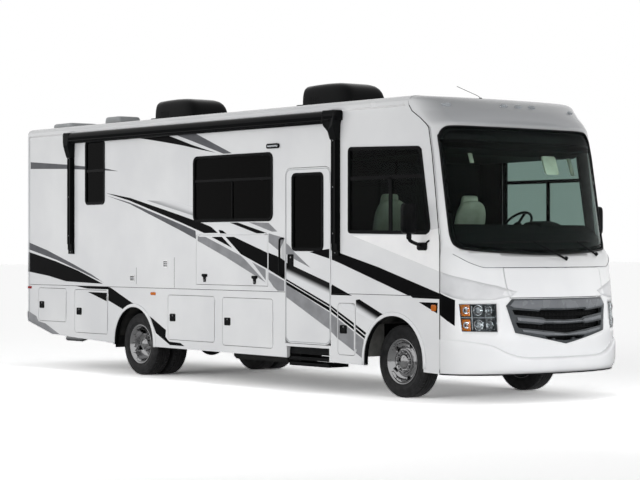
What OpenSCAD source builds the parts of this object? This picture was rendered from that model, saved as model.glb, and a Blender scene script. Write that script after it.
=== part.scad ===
// Motorhome of the flat-nosed, front-engined kind: a coach body on a ladder chassis.
// +X is forward, +Y is the driver's side, +Z is up, and the tyres stand on z = 0.

/* [Overall] */
// Distance from the front axle to the rear axle
wheelbase = 5283; // [5000:1:6400]
// Front axle forward to the nose of the bumper
front_overhang = 1650; // [1640:1:1700]
// Rear axle back to the rear wall's outer face
rear_overhang = 2875; // [2700:1:3500]
// Width across the side walls
body_w = 2550; // [2450:1:3100]
// Height of the eaves, where the walls meet the roof
eave_z = 3355; // [3300:1:3700]
// Rise of the roof above the eaves
roof_rise = 115; // [90:1:140]
// Thickness of walls, skirts and floor
wall_t = 50; // [30:1:60]
// Height of the floor's top face
floor_z = 1190; // [1180:1:1220]
// Thickness of the floor
floor_t = 70; // [50:1:80]

/* [Wheels] */
// Radius of every tyre
tyre_r = 419; // [400:1:430]
// Width of one tyre
tyre_w = 245; // [210:1:250]
// Radius of the rim's bead seat
rim_r = 250; // [230:1:260]
// Half the front track
front_track = 947; // [930:1:1000]
// Half the track of the inner rear wheels
rear_track_in = 795; // [790:1:830]
// Distance between the two wheels of a pair
dual_gap = 280; // [260:1:300]
// Radius of the front spindles
spindle_r = 38; // [30:1:45]
// Running clearance around a spindle or kingpin
run_gap = 0.05; // [0.02:0.01:0.1]
// Half the distance between the kingpins
kingpin_y = 760; // [740:1:780]

/* [Doors] */
// Gap around every door and lid
door_gap = 6; // [5:0.5:8]
// Thickness of a locker door
locker_t = 40; // [25:1:45]
// Width of the entry door's opening
entry_w = 890; // [700:1:900]
// Height of the entry door's opening
entry_h = 2140; // [2000:1:2200]
// Height of the entry door's sill
entry_z = 565; // [540:1:620]
// Depth of a storage bay
bay_d = 525; // [400:1:540]
// Wall of a storage bay
bay_t = 15; // [8:1:20]

/* [Outfit] */
// Length of the awning's case
awning_l = 6300; // [5000:1:6400]
// Length of a roof air conditioner
ac_l = 950; // [700:1:1000]
// Width of a roof air conditioner
ac_w = 640; // [500:1:760]
// Height of a roof air conditioner
ac_h = 365; // [250:1:400]
// Inside width of the receiver's square socket
receiver_w = 50.8; // [50.8, 63.5]
// Radius of the cross hole for the receiver's pin
receiver_pin_r = 8; // [6.5:0.1:8.5]

/* [Hidden] */

rear_bumper_reach = 60;
length = front_overhang + wheelbase + rear_overhang + rear_bumper_reach;
fx = length / 2 - front_overhang;
rx = fx - wheelbase;
back_x = rx - rear_overhang;
side_y = body_w / 2;
in_y = side_y - wall_t;
roof_z = eave_z + roof_rise;
hub_z = tyre_r;
white = "white";
trim_black = "#1a1a1c";

// ---- helpers -----------------------------------------------------------------

// Rounded rectangle between two corners, as points
function rr(x0, z0, x1, z1, r, n = 5) =
    let (c = [[x1 - r, z1 - r, 0], [x0 + r, z1 - r, 90], [x0 + r, z0 + r, 180],
              [x1 - r, z0 + r, 270]])
    [for (k = c) for (i = [0:n])
        [k[0] + r * cos(k[2] + 90 * i / n), k[1] + r * sin(k[2] + 90 * i / n)]];

// Points of an arc, from angle a0 to angle a1
function arc(cx, cz, r, a0, a1, n = 12) =
    [for (i = [0:n]) let (a = a0 + (a1 - a0) * i / n) [cx + r * cos(a), cz + r * sin(a)]];

// Extrudes an outline of (x, z) from y = y0 towards +Y by t
module along_y(y0, t) {
    translate([0, y0 + t, 0]) rotate([90, 0, 0]) linear_extrude(t) children();
}

// Extrudes an outline of (y, z) from x = x0 towards +X by t
module along_x(x0, t) {
    translate([x0, 0, 0]) rotate([90, 0, 90]) linear_extrude(t) children();
}

// Box between two corners
module box(a, b) {
    translate(a) cube(b - a);
}

// Hinge along the z axis: the leaf of the door goes to -x, the leaf of the wall to +x, and
// both lie on a skin that is hinge_out away towards +y
hinge_out = 7;
pin_r = 3;
barrel_r = 5.5;
leaf_w = 22;
lug_l = 30;

module hinge_of_door(l) {
    difference() {
        union() {
            translate([0, 0, -l / 2]) cylinder(r = barrel_r, h = l, $fn = 24);
            box([-leaf_w, hinge_out - 3, -l / 2], [0, hinge_out, l / 2]);
        }
        translate([0, 0, -l]) cylinder(r = pin_r + run_gap, h = 2 * l, $fn = 24);
    }
}

module hinge_of_wall(l) {
    translate([0, 0, -l / 2 - lug_l]) cylinder(r = pin_r, h = l + 2 * lug_l, $fn = 24);
    for (e = [0, 1]) mirror([0, 0, e]) {
        translate([0, 0, l / 2 + 1]) cylinder(r = barrel_r, h = lug_l - 1, $fn = 24);
        box([0, hinge_out - 3, l / 2 + 1], [leaf_w, hinge_out, l / 2 + lug_l]);
    }
}

// Puts a hinge on the forward edge of the opening h = [x0, z0, x1, z1], or on its top edge
module at_edge(h, top = false) {
    y = -side_y - hinge_out;
    if (top)
        translate([(h[0] + h[2]) / 2, y, h[3] - door_gap / 2]) rotate([0, -90, 0]) children();
    else
        translate([h[2] - door_gap / 2, y, (h[1] + h[3]) / 2]) children();
}
function hinge_l(h, top = false) = (top ? h[2] - h[0] : h[3] - h[1]) - 2 * lug_l - 100;

// Children once as they are (s = -1, right side) or mirrored to the left (s = 1)
module side(s) {
    if (s < 0) children();
    else mirror([0, 1, 0]) children();
}

// ---- openings in the sides: [x0, z0, x1, z1], x from an axle ------------------

skirt_r = 45;
lockers = [
    [rx - 2569, 665, rx - 1791, 1148],
    [rx - 1564, 528, rx - 688, 1141],
    [rx + 794, 512, rx + 1863, 1108],
    [fx - 3255, 485, fx - 2180, 1100],
    [fx - 910, 465, fx - 580, 1080]];
left_lockers = 4;
galley = [fx - 3838, 1252, fx - 2280, 1897];
entry_x1 = fx - 1040;
entry = [entry_x1 - entry_w, entry_z, entry_x1, entry_z + entry_h];
// The stretch of the entry's forward edge that carries the door's hinge
entry_upper = [entry[0], floor_z + 40, entry_x1, entry[3] - 120];
big_window = [fx - 3899, 2059, fx - 2179, 2917];
tall_window = [rx - 1277, 2330, rx - 764, 3240];
// The cab window leans back along its front edge
cab_window = [[fx - 713, 1990], [fx - 713, 2870], [fx - 668, 2915], [fx + 545, 2880],
              [fx + 590, 2845], [fx + 735, 1990], [fx + 712, 1900], [fx + 660, 1880],
              [fx - 668, 1900]];
// Seam between the side walls and the front cap, ahead of the front axle, by height:
// low part by height, top part by height above the eaves
seam_low = [[300, 890], [1790, 890], [2380, 817], [2800, 760]];
seam_top = [[-275, 706], [-235, 668], [-155, 560], [-75, 425], [-5, 372], [55, 360], [115, 360]];
function from_eaves(pts) = [for (p = pts) [eave_z + p[0], p[1]]];
cap_seam = concat(seam_low, from_eaves(seam_top));
function seam(z) = lookup(z, cap_seam);

rear_arch = concat([[rx - 500, 200]], arc(rx - 25, 447, 480, 180, 0, 16), [[rx + 455, 200]]);
front_arch = concat([[fx - 420, 200]], arc(fx + 100, 435, 520, 180, 0, 16), [[fx + 620, 200]]);

// ---- chassis -------------------------------------------------------------------

rail_y = 360;
rail_w = 80;
rail_z0 = 640;
rail_z1 = 880;
cross_x = [back_x + 150, rx - 1500, rx - 800, rx + 900, rx + 1900, fx - 2300, fx - 1150,
           fx + 1250];

module chassis_frame() {
    color(trim_black) {
        for (s = [-1, 1]) side(s) {
            difference() {
                box([back_x + 60, -rail_y - rail_w, rail_z0], [fx + 1300, -rail_y, rail_z1]);
                box([back_x + 59, -rail_y - rail_w - 1, rail_z0 + 10],
                    [fx + 1301, -rail_y - 10, rail_z1 - 10]);
            }
        }
        for (x = cross_x) {
            box([x - 40, -rail_y, rail_z0 + 60], [x + 40, rail_y, rail_z1 - 60]);
            box([x - 30, -660, rail_z1], [x + 30, 660, floor_z - floor_t]);
        }
    }
}

receiver_t = 6.5;
receiver_l = 260;
receiver_z = 540;

module hitch_receiver() {
    out = receiver_w / 2 + receiver_t;
    x0 = back_x - 20;
    color(trim_black) difference() {
        union() {
            box([x0, -out, receiver_z - out], [x0 + receiver_l, out, receiver_z + out]);
            box([x0 + 90, -rail_y - rail_w, receiver_z - 25],
                [x0 + 150, rail_y + rail_w, receiver_z + 25]);
            for (s = [-1, 1]) side(s)
                box([x0 + 90, -rail_y - rail_w, receiver_z - 25],
                    [x0 + 330, -rail_y - rail_w + 12, rail_z0]);
        }
        box([x0 - 1, -receiver_w / 2, receiver_z - receiver_w / 2],
            [x0 + receiver_l + 1, receiver_w / 2, receiver_z + receiver_w / 2]);
        translate([x0 + 60, 0, receiver_z]) rotate([90, 0, 0])
            cylinder(r = receiver_pin_r, h = 4 * out, center = true, $fn = 48);
    }
}

module engine() {
    color("#3c3c40") {
        box([fx - 330, -310, 520], [fx + 720, 310, 1050]);
        box([fx - 1000, -200, 560], [fx - 330, 200, 860]);
        for (s = [-1, 1]) side(s) box([fx + 100, -rail_y, 700], [fx + 220, -310, 760]);
    }
}

// A leaf spring bowed between its two ends, as an outline in x and z
function leaf(cx, z0, half_l, drop, t) =
    concat([for (i = [-8:8]) [cx + half_l * i / 8, z0 + drop * i * i / 64]],
           [for (i = [8:-1:-8]) [cx + half_l * i / 8, z0 + t + drop * i * i / 64]]);

module springs(cx, z0) {
    drop = rail_z0 - z0 - 90;
    for (s = [-1, 1]) side(s) {
        along_y(-rail_y - 77, 74) polygon(leaf(cx, z0, 720, drop, 45));
        for (e = [-1, 1])
            box([cx + e * 690 - 30, -rail_y - 77, z0 + drop], [cx + e * 690 + 30, -rail_y - 3, rail_z0]);
    }
}

beam_z = 330;
beam_h = 90;

module front_axle() {
    color(trim_black) {
        difference() {
            union() {
                box([fx - 45, -kingpin_y, beam_z], [fx + 45, kingpin_y, beam_z + beam_h]);
                for (s = [-1, 1])
                    translate([fx, s * kingpin_y, beam_z]) cylinder(r = 48, h = 150, $fn = 48);
            }
            for (s = [-1, 1]) translate([fx, s * kingpin_y, beam_z - 1])
                cylinder(r = 20 + run_gap, h = 200, $fn = 48);
        }
        springs(fx, beam_z + beam_h);
    }
}

axle_r = 68;
rear_spindle_r = 45;

module rear_axle() {
    color(trim_black) {
        translate([rx, 0, hub_z]) rotate([90, 0, 0])
            cylinder(r = axle_r, h = 2 * (rear_track_in - 130), center = true, $fn = 48);
        translate([rx, 0, hub_z]) rotate([90, 0, 0])
            cylinder(r = rear_spindle_r, h = 2 * (rear_track_in + dual_gap + 60), center = true,
                     $fn = 48);
        translate([rx, 0, hub_z]) sphere(r = 190, $fn = 48);
        springs(rx, hub_z + axle_r - 4);
        translate([rx + 150, 0, hub_z + 10]) rotate([0, 90, 0])
            rotate([0, -atan2(150, wheelbase - 1150), 0])
            cylinder(r = 48, h = wheelbase - 1150, $fn = 32);
    }
}

module knuckle() {
    plate_t = 26;
    z0 = beam_z - 6 - plate_t;
    z1 = beam_z + 150 + 6;
    color("#3a3a3d") union() {
        translate([fx, -kingpin_y, z0]) cylinder(r = 20, h = z1 + plate_t - z0, $fn = 48);
        for (z = [z0, z1]) {
            translate([fx, -kingpin_y, z]) cylinder(r = 46, h = plate_t, $fn = 48);
            box([fx - 40, -kingpin_y - 80, z], [fx + 40, -kingpin_y, z + plate_t]);
        }
        box([fx - 60, -kingpin_y - 80, z0], [fx + 60, -kingpin_y - 56, z1 + plate_t]);
        translate([fx, -kingpin_y - 60, hub_z]) rotate([90, 0, 0])
            cylinder(r = spindle_r, h = front_track - kingpin_y + 20, $fn = 48);
    }
}

module right_knuckle() {
    knuckle();
}

module left_knuckle() {
    mirror([0, 1, 0]) knuckle();
}

// ---- wheels --------------------------------------------------------------------

bead_gap = 0.3;
bead_in = 22;
lip_h = 17;
lip_t = 7;

// Lathe of a (radius, outward) outline around the axle line; the right side is outward = -Y
module lathe(x, y) {
    translate([x, y, hub_z]) rotate([90, 0, 0]) rotate_extrude($fn = 96) children();
}

// One flank of a tyre's section, from the bead out to the tread; e is the side it faces
function half_tyre(r0, w, e) = [[r0, w - e * bead_in], [rim_r + lip_h + 1, w - e * bead_in],
    [rim_r + lip_h + 3, w - e * 10], [r0 + 60, w], [tyre_r - 45, w - e * 2],
    [tyre_r - 14, w - e * 14], [tyre_r - 5, w - e * 28], [tyre_r - 1, w - e * 48],
    [tyre_r, w - e * 66]];

module tyre(x, y) {
    w = tyre_w / 2;
    r0 = rim_r + bead_gap;
    color("#202022") lathe(x, y)
        polygon(concat(half_tyre(r0, -w, -1), [for (i = [8:-1:0]) half_tyre(r0, w, 1)[i]]));
}

// Rim with its disc between d0 and d1 and its hub between h0 and h1, along the axle
module rim(x, y, bore, d0, d1, h0, h1) {
    w = tyre_w / 2 - bead_in + bead_gap;
    color("#c8cacd") lathe(x, y) {
        polygon([[rim_r - 9, -w - lip_t], [rim_r + lip_h, -w - lip_t], [rim_r + lip_h, -w],
                 [rim_r, -w], [rim_r, w], [rim_r + lip_h, w], [rim_r + lip_h, w + lip_t],
                 [rim_r - 9, w + lip_t]]);
        translate([bore, d0]) square([rim_r - 5 - bore, d1 - d0]);
        translate([bore, h0]) square([110 - bore, h1 - h0]);
    }
}

module front_tyre() {
    tyre(fx, -front_track);
}

module front_rim() {
    rim(fx, -front_track, spindle_r + run_gap, 40, 54, -70, 75);
}

module rear_tyres() {
    tyre(rx, -rear_track_in);
    tyre(rx, -rear_track_in - dual_gap);
}

module rear_rims() {
    bore = rear_spindle_r + run_gap;
    disc = tyre_w / 2 - 34.5;
    disc_t = 12;
    rim(rx, -rear_track_in, bore, disc, disc + disc_t, -60, disc + disc_t);
    rim(rx, -rear_track_in - dual_gap, bore, -disc - disc_t, -disc, disc + disc_t - 1 - dual_gap, 50);
}

module front_right_tyre() { front_tyre(); }
module front_right_rim() { front_rim(); }
module front_left_tyre() { mirror([0, 1, 0]) front_tyre(); }
module front_left_rim() { mirror([0, 1, 0]) front_rim(); }
module rear_right_tyres() { rear_tyres(); }
module rear_right_rims() { rear_rims(); }
module rear_left_tyres() { mirror([0, 1, 0]) rear_tyres(); }
module rear_left_rims() { mirror([0, 1, 0]) rear_rims(); }

// ---- underbody -----------------------------------------------------------------

module underbody_tanks() {
    locker_bottom = lockers[3][1] - bay_t;
    color(trim_black) {
        along_x(rx - 2200, 1250)
            polygon(rr(-210, 400, 350, rail_z0 + 60 - 1, 60));
        for (x = [rx - 1500 - 60, rx - 1500 + 20])
            box([x, -180, rail_z0 + 58], [x + 40, 320, rail_z0 + 60]);
        along_x(fx - 3200, 1120)
            polygon([[-1130, locker_bottom], [-1130, 350], [-1090, 312], [-620, 312],
                     [-580, 350], [-580, locker_bottom]]);
    }
}

pipe_r = 38;
pipe_y = -280;
pipe_z = 575;

// Straight pipe from a to b with a ball at its end
module pipe(a, b) {
    d = b - a;
    l = norm(d);
    translate(a) rotate([0, acos(d[2] / l), atan2(d[1], d[0])]) cylinder(r = pipe_r, h = l, $fn = 32);
    translate(b) sphere(r = pipe_r + 1, $fn = 32);
}

module exhaust() {
    tip = rx - 2087;
    color("#77777a") {
        pipe([fx - 560, pipe_y, pipe_z], [tip, pipe_y, pipe_z]);
        translate([rx + 2600, pipe_y, pipe_z]) rotate([0, -90, 0])
            cylinder(r = 62, h = 620, $fn = 48);
        pipe([tip, pipe_y, pipe_z], [tip - 40, -800, 400]);
        translate([tip - 40, -800, 400]) rotate([0, -90, 0]) cylinder(r = pipe_r, h = 400, $fn = 32);
        for (x = [cross_x[1], cross_x[3], cross_x[5]])
            translate([x, pipe_y, pipe_z]) cylinder(r = 8, h = rail_z0 + 60 - pipe_z, $fn = 24);
    }
}

// ---- body ------------------------------------------------------------------------

stair_y = -800;

module floor() {
    z0 = floor_z - floor_t;
    color("#6b5b4a") difference() {
        box([back_x + wall_t, -in_y, z0], [fx + seam(z0), in_y, floor_z]);
        box([entry[0], -in_y - 1, z0 - 1], [entry[2], stair_y, floor_z + 1]);
    }
}

skirt_bottom = [[back_x + wall_t, 645], [rx - 2180, 483], [rx - 600, 415], [rx + 500, 404],
                [fx - 1950, 391], [fx - 450, 360], [fx + 640, 335], [fx + 890, 326]];

module skirt(holes) {
    for (h = holes) at_edge(h) hinge_of_wall(hinge_l(h));
    along_y(-side_y, wall_t) difference() {
        polygon(concat(skirt_bottom, [[fx + 890, floor_z], [back_x + wall_t, floor_z]]));
        for (h = holes) polygon(rr(h[0], h[1], h[2], h[3], skirt_r));
        polygon(rear_arch);
        polygon(front_arch);
    }
}

module right_skirt() {
    color(white) difference() {
        skirt(lockers);
        box([entry[0], -side_y - 1, entry_z], [entry[2], 0, floor_z + 1]);
        box([entry[0] + 30, -side_y - 1, 100], [entry[2] - 30, 0, entry_z - 35]);
    }
}

module left_skirt() {
    color(white) mirror([0, 1, 0]) skirt([for (i = [0:left_lockers - 1]) lockers[i]]);
}

module wall(extra) {
    along_y(-side_y, wall_t) difference() {
        polygon(concat([[back_x + wall_t, eave_z], [back_x + wall_t, floor_z],
                        [fx + seam(floor_z), floor_z]],
                       [for (p = cap_seam) if (p[0] > floor_z && p[0] < eave_z) [fx + p[1], p[0]]],
                       [[fx + seam(eave_z), eave_z]]));
        polygon(rr(big_window[0], big_window[1], big_window[2], big_window[3], 90));
        polygon(rr(tall_window[0], tall_window[1], tall_window[2], tall_window[3], 70));
        polygon(cab_window);
        for (h = extra) polygon(rr(h[0], h[1], h[2], h[3], 12));
    }
}

module right_wall() {
    color(white) {
        difference() {
            wall([galley]);
            along_y(-side_y - 1, wall_t + 2)
                polygon(rr(entry[0], entry[1], entry[2], entry[3], 100));
        }
        at_edge(galley, true) hinge_of_wall(hinge_l(galley, true));
        at_edge(entry_upper) hinge_of_wall(hinge_l(entry_upper));
    }
}

module left_wall() {
    color(white) mirror([0, 1, 0]) wall([]);
}

// Section of the roof's edge, from the eaves in to the flat top, as [y, z]
function roof_edge() = [[side_y, eave_z], [side_y - 4, eave_z + 0.45 * roof_rise],
    [side_y - 30, eave_z + 0.78 * roof_rise], [side_y - 85, eave_z + 0.95 * roof_rise],
    [side_y - 160, roof_z]];
roof_t = 50;

module roof() {
    e = roof_edge();
    n = len(e);
    color(white) along_x(back_x + wall_t, fx + seam(roof_z) - back_x - wall_t)
        polygon(concat([for (p = e) [-p[0], p[1]]], [for (i = [n - 1:-1:0]) e[i]],
                       [[side_y - roof_t, eave_z], [side_y - 100, roof_z - roof_t - 8],
                        [side_y - 180, roof_z - roof_t], [-side_y + 180, roof_z - roof_t],
                        [-side_y + 100, roof_z - roof_t - 8], [-side_y + roof_t, eave_z]]));
}

module rear_wall() {
    e = roof_edge();
    n = len(e);
    color(white) along_x(back_x, wall_t)
        polygon(concat([[side_y, 655]], e, [for (i = [n - 1:-1:0]) [-e[i][0], e[i][1]]],
                       [[-side_y, 655]]));
}

module rear_bumper() {
    color(trim_black) box([back_x - rear_bumper_reach, -side_y + 20, 690], [back_x, side_y - 20, 800]);
}

// ---- front cap ---------------------------------------------------------------------

// Nose of the cap on the centre line, ahead of the front axle: low part by height, top part
// by height above the eaves
nose_low = [[330, 1560], [380, 1625], [430, 1648], [500, 1650], [545, 1610], [600, 1590],
            [720, 1600], [800, 1596], [900, 1580], [1170, 1545], [1505, 1465], [1580, 1400],
            [1655, 1310], [1700, 1275], [1790, 1251], [2380, 1093], [2800, 980]];
nose_top = [[-275, 905], [-235, 935], [-155, 950], [-75, 925], [-5, 860], [55, 770], [95, 640],
            [115, 360]];
nose_line = concat(nose_low, from_eaves(nose_top));
// How far the cap's widest line lies inside the side walls, by height
cap_half = concat([[330, 0], [1600, 0], [1800, 15], [2800, 20]],
                  from_eaves([[-275, 20], [-235, 5], [-5, 0], [55, 4], [95, 60], [115, 160]]));
cap_levels = [for (p = nose_line) p[0]];
cap_n = 2.2;
cap_t = 40;
cap_cols = 24;
function nose(z) = lookup(z, nose_line);
function half_w(z) = side_y - lookup(z, cap_half);

// Point of the cap's skin, off mm inside it, at height z; s runs from -1 (right) to 1
function cap_pt(z, s, off, zz) =
    let (a = max(0, nose(z) - off - seam(zz)), c = pow(abs(cos(90 * s)), 2 / cap_n),
         w = (half_w(z) - off) * sign(s) * pow(abs(sin(90 * s)), 2 / cap_n))
    [fx + seam(zz) + a * c, w, zz];

// Shell of the cap between the levels zs, from off mm inside its skin, t mm thick
module shell(zs, off, t, closed = false) {
    m = len(zs) - 1;
    n = cap_cols;
    k = (m + 1) * (n + 1);
    outer = [for (z = zs) for (j = [0:n]) cap_pt(z, 2 * j / n - 1, off, z)];
    inner = [for (z = zs) for (j = [0:n])
        cap_pt(z, 2 * j / n - 1, off + t,
               closed ? min(z, zs[m] - t - (zs[m] - z) / 10) : z)];
    function o(i, j) = i * (n + 1) + j;
    function q(a, b, c, d) = [[a, b, c], [a, c, d]];
    faces = concat(
        [for (i = [0:m - 1]) for (j = [0:n - 1]) for (f = q(o(i, j), o(i + 1, j),
            o(i + 1, j + 1), o(i, j + 1))) f],
        [for (i = [0:m - 1]) for (j = [0:n - 1]) for (f = q(k + o(i, j), k + o(i, j + 1),
            k + o(i + 1, j + 1), k + o(i + 1, j))) f],
        [for (i = [0:m - 1]) for (f = q(k + o(i, 0), k + o(i + 1, 0), o(i + 1, 0), o(i, 0))) f],
        [for (i = [0:m - 1]) for (f = q(o(i, n), o(i + 1, n), k + o(i + 1, n), k + o(i, n))) f],
        [for (j = [0:n - 1]) for (f = q(o(0, j), o(0, j + 1), k + o(0, j + 1), k + o(0, j))) f],
        [for (j = [0:n - 1]) for (f = q(o(m, j + 1), o(m, j), k + o(m, j), k + o(m, j + 1))) f]);
    polyhedron(concat(outer, inner), faces);
}

bumper_z = 740;
hood_z0 = 1180;
hood_z1 = 1505;
hood_t = 25;
hood_gap = door_gap + 2;

function flip(pts) = [for (i = [len(pts) - 1:-1:0]) [-pts[i][0], pts[i][1]]];
function both(pts) = concat(pts, flip(pts));

windshield_edge = both([[0, 1655], [600, 1675], [side_y - 175, 1712], [side_y - 90, 1755],
                        [side_y - 63, 1840], [side_y - 70, eave_z - 375],
                        [side_y - 93, eave_z - 295], [side_y - 185, eave_z - 257]]);
// Side of the hood: its top stretch is upright, so that it clears the cap as it lifts
hood_low_y = 725;
hood_top_y = 755;
hood_bend_z = 1340;
hood_edge = both([[hood_low_y, hood_z0], [hood_top_y, hood_bend_z], [hood_top_y, hood_z1]]);
hood_opening = both([[hood_low_y + hood_gap, hood_z0 - hood_gap],
                     [hood_top_y + hood_gap, hood_bend_z],
                     [hood_top_y + hood_gap, hood_z1 + hood_gap]]);
grille_edge = both([[0, 655], [705, 790], [785, 1090], [712, 1165]]);
lamp_edge = [[862, 800], [1200, 806], [1215, 1115], [852, 1118]];

module grown(d) {
    if (d == 0) children();
    else offset(delta = d) children();
}

module front_cap() {
    zs = [for (z = cap_levels) if (z > bumper_z) z];
    color(white) for (y = hood_hinge_y) {
        hood_rod(y, hood_pin_r, hood_barrel_l + 24);
        for (e = [-1, 1]) translate([0, y + e * (hood_barrel_l / 2 + 7), 0])
            box([hood_pin_x - 26, -5, hood_z1 + 2], [hood_pin_x + 3, 5, hood_z1 + hood_gap + 3]);
    }
    color(white) difference() {
        shell(concat([bumper_z], zs), 0, cap_t, true);
        along_x(fx + 200, 2000) polygon(windshield_edge);
        along_x(fx + 1000, 1000) polygon(hood_opening);
        along_x(fx + 1000, 1000) polygon(grille_edge);
        for (s = [-1, 1]) side(s) mirror([0, 1, 0])
            along_x(fx + 800, 1200) polygon(lamp_edge);
    }
}

module front_bumper() {
    zs = [for (z = cap_levels) if (z < bumper_z) z];
    color(white) difference() {
        shell(concat(zs, [bumper_z]), 0, cap_t);
        along_x(fx + 1000, 1000) polygon(grille_edge);
    }
}

// Hood hinge in the gap above the hood: pins on the cap, barrels on the hood
hood_pin_x = fx + nose(hood_z1) + 2;
hood_pin_z = hood_z1 + hood_gap / 2;
hood_pin_r = 2;
hood_barrel_l = 80;
hood_hinge_y = [-150, 150];

module hood_rod(y, r, l) {
    translate([hood_pin_x, y + l / 2, hood_pin_z]) rotate([90, 0, 0])
        cylinder(r = r, h = l, $fn = 24);
}

module hood() {
    r = hood_gap / 2 - bead_gap;
    color(white) {
        intersection() {
            shell([1170, hood_z1, 1580], 0, hood_t);
            along_x(fx + 1000, 1000) polygon(hood_edge);
        }
        for (y = hood_hinge_y) difference() {
            union() {
                hood_rod(y, r, hood_barrel_l);
                box([hood_pin_x - 12, y - hood_barrel_l / 2, hood_z1 - 3],
                    [hood_pin_x, y + hood_barrel_l / 2, hood_z1 + 1.5]);
            }
            hood_rod(y, hood_pin_r + run_gap, 2 * hood_barrel_l);
        }
    }
}

module grille() {
    color("#6f7276") difference() {
        intersection() {
            shell([600, 720, 900, 1170], 12, 24);
            along_x(fx + 1000, 1000) polygon(grille_edge);
        }
        for (g = [[1010, 1080, 640], [880, 950, 600]])
            along_x(fx + 1000, 1000)
                polygon([[-g[2], g[0]], [0, g[0] - 25], [g[2], g[0]], [g[2], g[1]], [-g[2], g[1]]]);
    }
}

module headlights() {
    color("#dfe4e8") intersection() {
        shell([780, 900, 1140], 4, 30);
        union() for (s = [-1, 1]) side(s) mirror([0, 1, 0])
            along_x(fx + 800, 1200) polygon(lamp_edge);
    }
}

module windshield() {
    zs = [for (z = cap_levels) if (z > 1640 && z < eave_z - 100) z];
    color("#26333a", 0.5) intersection() {
        shell(concat([1640], zs), 12, 10);
        along_x(fx + 200, 2000) polygon(windshield_edge);
    }
}

// ---- windows and doors ---------------------------------------------------------------

// Framed window: a rim that laps the wall outside, and a pane inside it
module window_unit(pts, lap) {
    along_y(-side_y - 8, 8) difference() {
        grown(lap) polygon(pts);
        grown(-25) polygon(pts);
    }
    along_y(-side_y, wall_t) difference() {
        polygon(pts);
        grown(-25) polygon(pts);
    }
    along_y(-side_y + 10, 8) grown(-24) polygon(pts);
}

module side_windows() {
    color("#101214") {
        window_unit(rr(big_window[0], big_window[1], big_window[2], big_window[3], 90), 0);
        window_unit(rr(tall_window[0], tall_window[1], tall_window[2], tall_window[3], 70), 0);
        window_unit(cab_window, 0);
    }
}

module right_windows() { side_windows(); }
module left_windows() { mirror([0, 1, 0]) side_windows(); }

door_window = [entry[0] + 130, 1690, entry[2] - 140, 2640];

module entry_door() {
    g = door_gap;
    color(white) {
        along_y(-side_y, wall_t - 5) difference() {
            polygon(rr(entry[0] + g, entry[1] + g, entry[2] - g, entry[3] - g, 95));
            polygon(rr(door_window[0], door_window[1], door_window[2], door_window[3], 70));
        }
        at_edge(entry_upper) hinge_of_door(hinge_l(entry_upper));
    }
}

module entry_door_window() {
    color("#101214") along_y(-side_y + 4, 12)
        polygon(rr(door_window[0], door_window[1], door_window[2], door_window[3], 70));
}

module locker_door(h, r, top = false) {
    g = door_gap;
    color(white) {
        along_y(-side_y, locker_t)
            polygon(rr(h[0] + g, h[1] + g, h[2] - g, h[3] - g, r - g));
        at_edge(h, top) hinge_of_door(hinge_l(h, top));
    }
}

module right_locker_door_1() { locker_door(lockers[0], skirt_r); }
module right_locker_door_2() { locker_door(lockers[1], skirt_r); }
module right_locker_door_3() { locker_door(lockers[2], skirt_r); }
module right_locker_door_4() { locker_door(lockers[3], skirt_r); }
module right_locker_door_5() { locker_door(lockers[4], skirt_r); }
module left_locker_door_1() { mirror([0, 1, 0]) locker_door(lockers[0], skirt_r); }
module left_locker_door_2() { mirror([0, 1, 0]) locker_door(lockers[1], skirt_r); }
module left_locker_door_3() { mirror([0, 1, 0]) locker_door(lockers[2], skirt_r); }
module left_locker_door_4() { mirror([0, 1, 0]) locker_door(lockers[3], skirt_r); }
module galley_door() { locker_door(galley, 12, true); }

// Tray behind one opening, open towards the door
module bay(h, depth) {
    t = bay_t;
    difference() {
        box([h[0] - t, -in_y, h[1] - t], [h[2] + t, -in_y + depth, min(h[3] + t, floor_z - floor_t)]);
        box([h[0], -in_y - 1, h[1]], [h[2], -in_y + depth - t, min(h[3], floor_z - floor_t - t)]);
    }
}

module storage_bays() {
    color("#b9bab8") {
        for (h = [lockers[1], lockers[2], lockers[3]]) bay(h, bay_d);
        bay(lockers[0], bay_d);
        bay(lockers[4], 380);
        for (i = [0:left_lockers - 1]) mirror([0, 1, 0]) bay(lockers[i], bay_d);
        difference() {
            box([galley[0] - bay_t, -in_y, floor_z], [galley[2] + bay_t, -in_y + 460, galley[3] + bay_t]);
            box([galley[0], -in_y - 1, galley[1]], [galley[2], -in_y + 445, galley[3]]);
        }
    }
}

module entry_steps() {
    y0 = -in_y;
    y1 = -1010;
    mid = (entry_z + floor_z) / 2;
    t = 20;
    color(trim_black) {
        along_x(entry[0], entry_w) polygon([[y0, entry_z - t], [y0, entry_z], [y1, entry_z],
            [y1, mid], [stair_y - t, mid], [stair_y - t, floor_z - floor_t], [stair_y, floor_z - floor_t],
            [stair_y, mid - t], [y1 + t, mid - t], [y1 + t, entry_z - t]]);
        for (x = [entry[0], entry[2] - t])
            box([x, y0, entry_z - t], [x + t, stair_y, floor_z - floor_t]);
        box([entry[0] + 40, y0, 440], [entry[2] - 40, -900, entry_z - t]);
        for (z = [300, 370])
            box([entry[0] + 70, -side_y + 10, z], [entry[2] - 50, -960, z + 40]);
        for (x = [entry[0] + 72, entry[2] - 72]) box([x, -1100, 300], [x + 20, -1000, 440]);
    }
}

// ---- outfit ----------------------------------------------------------------------------

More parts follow.
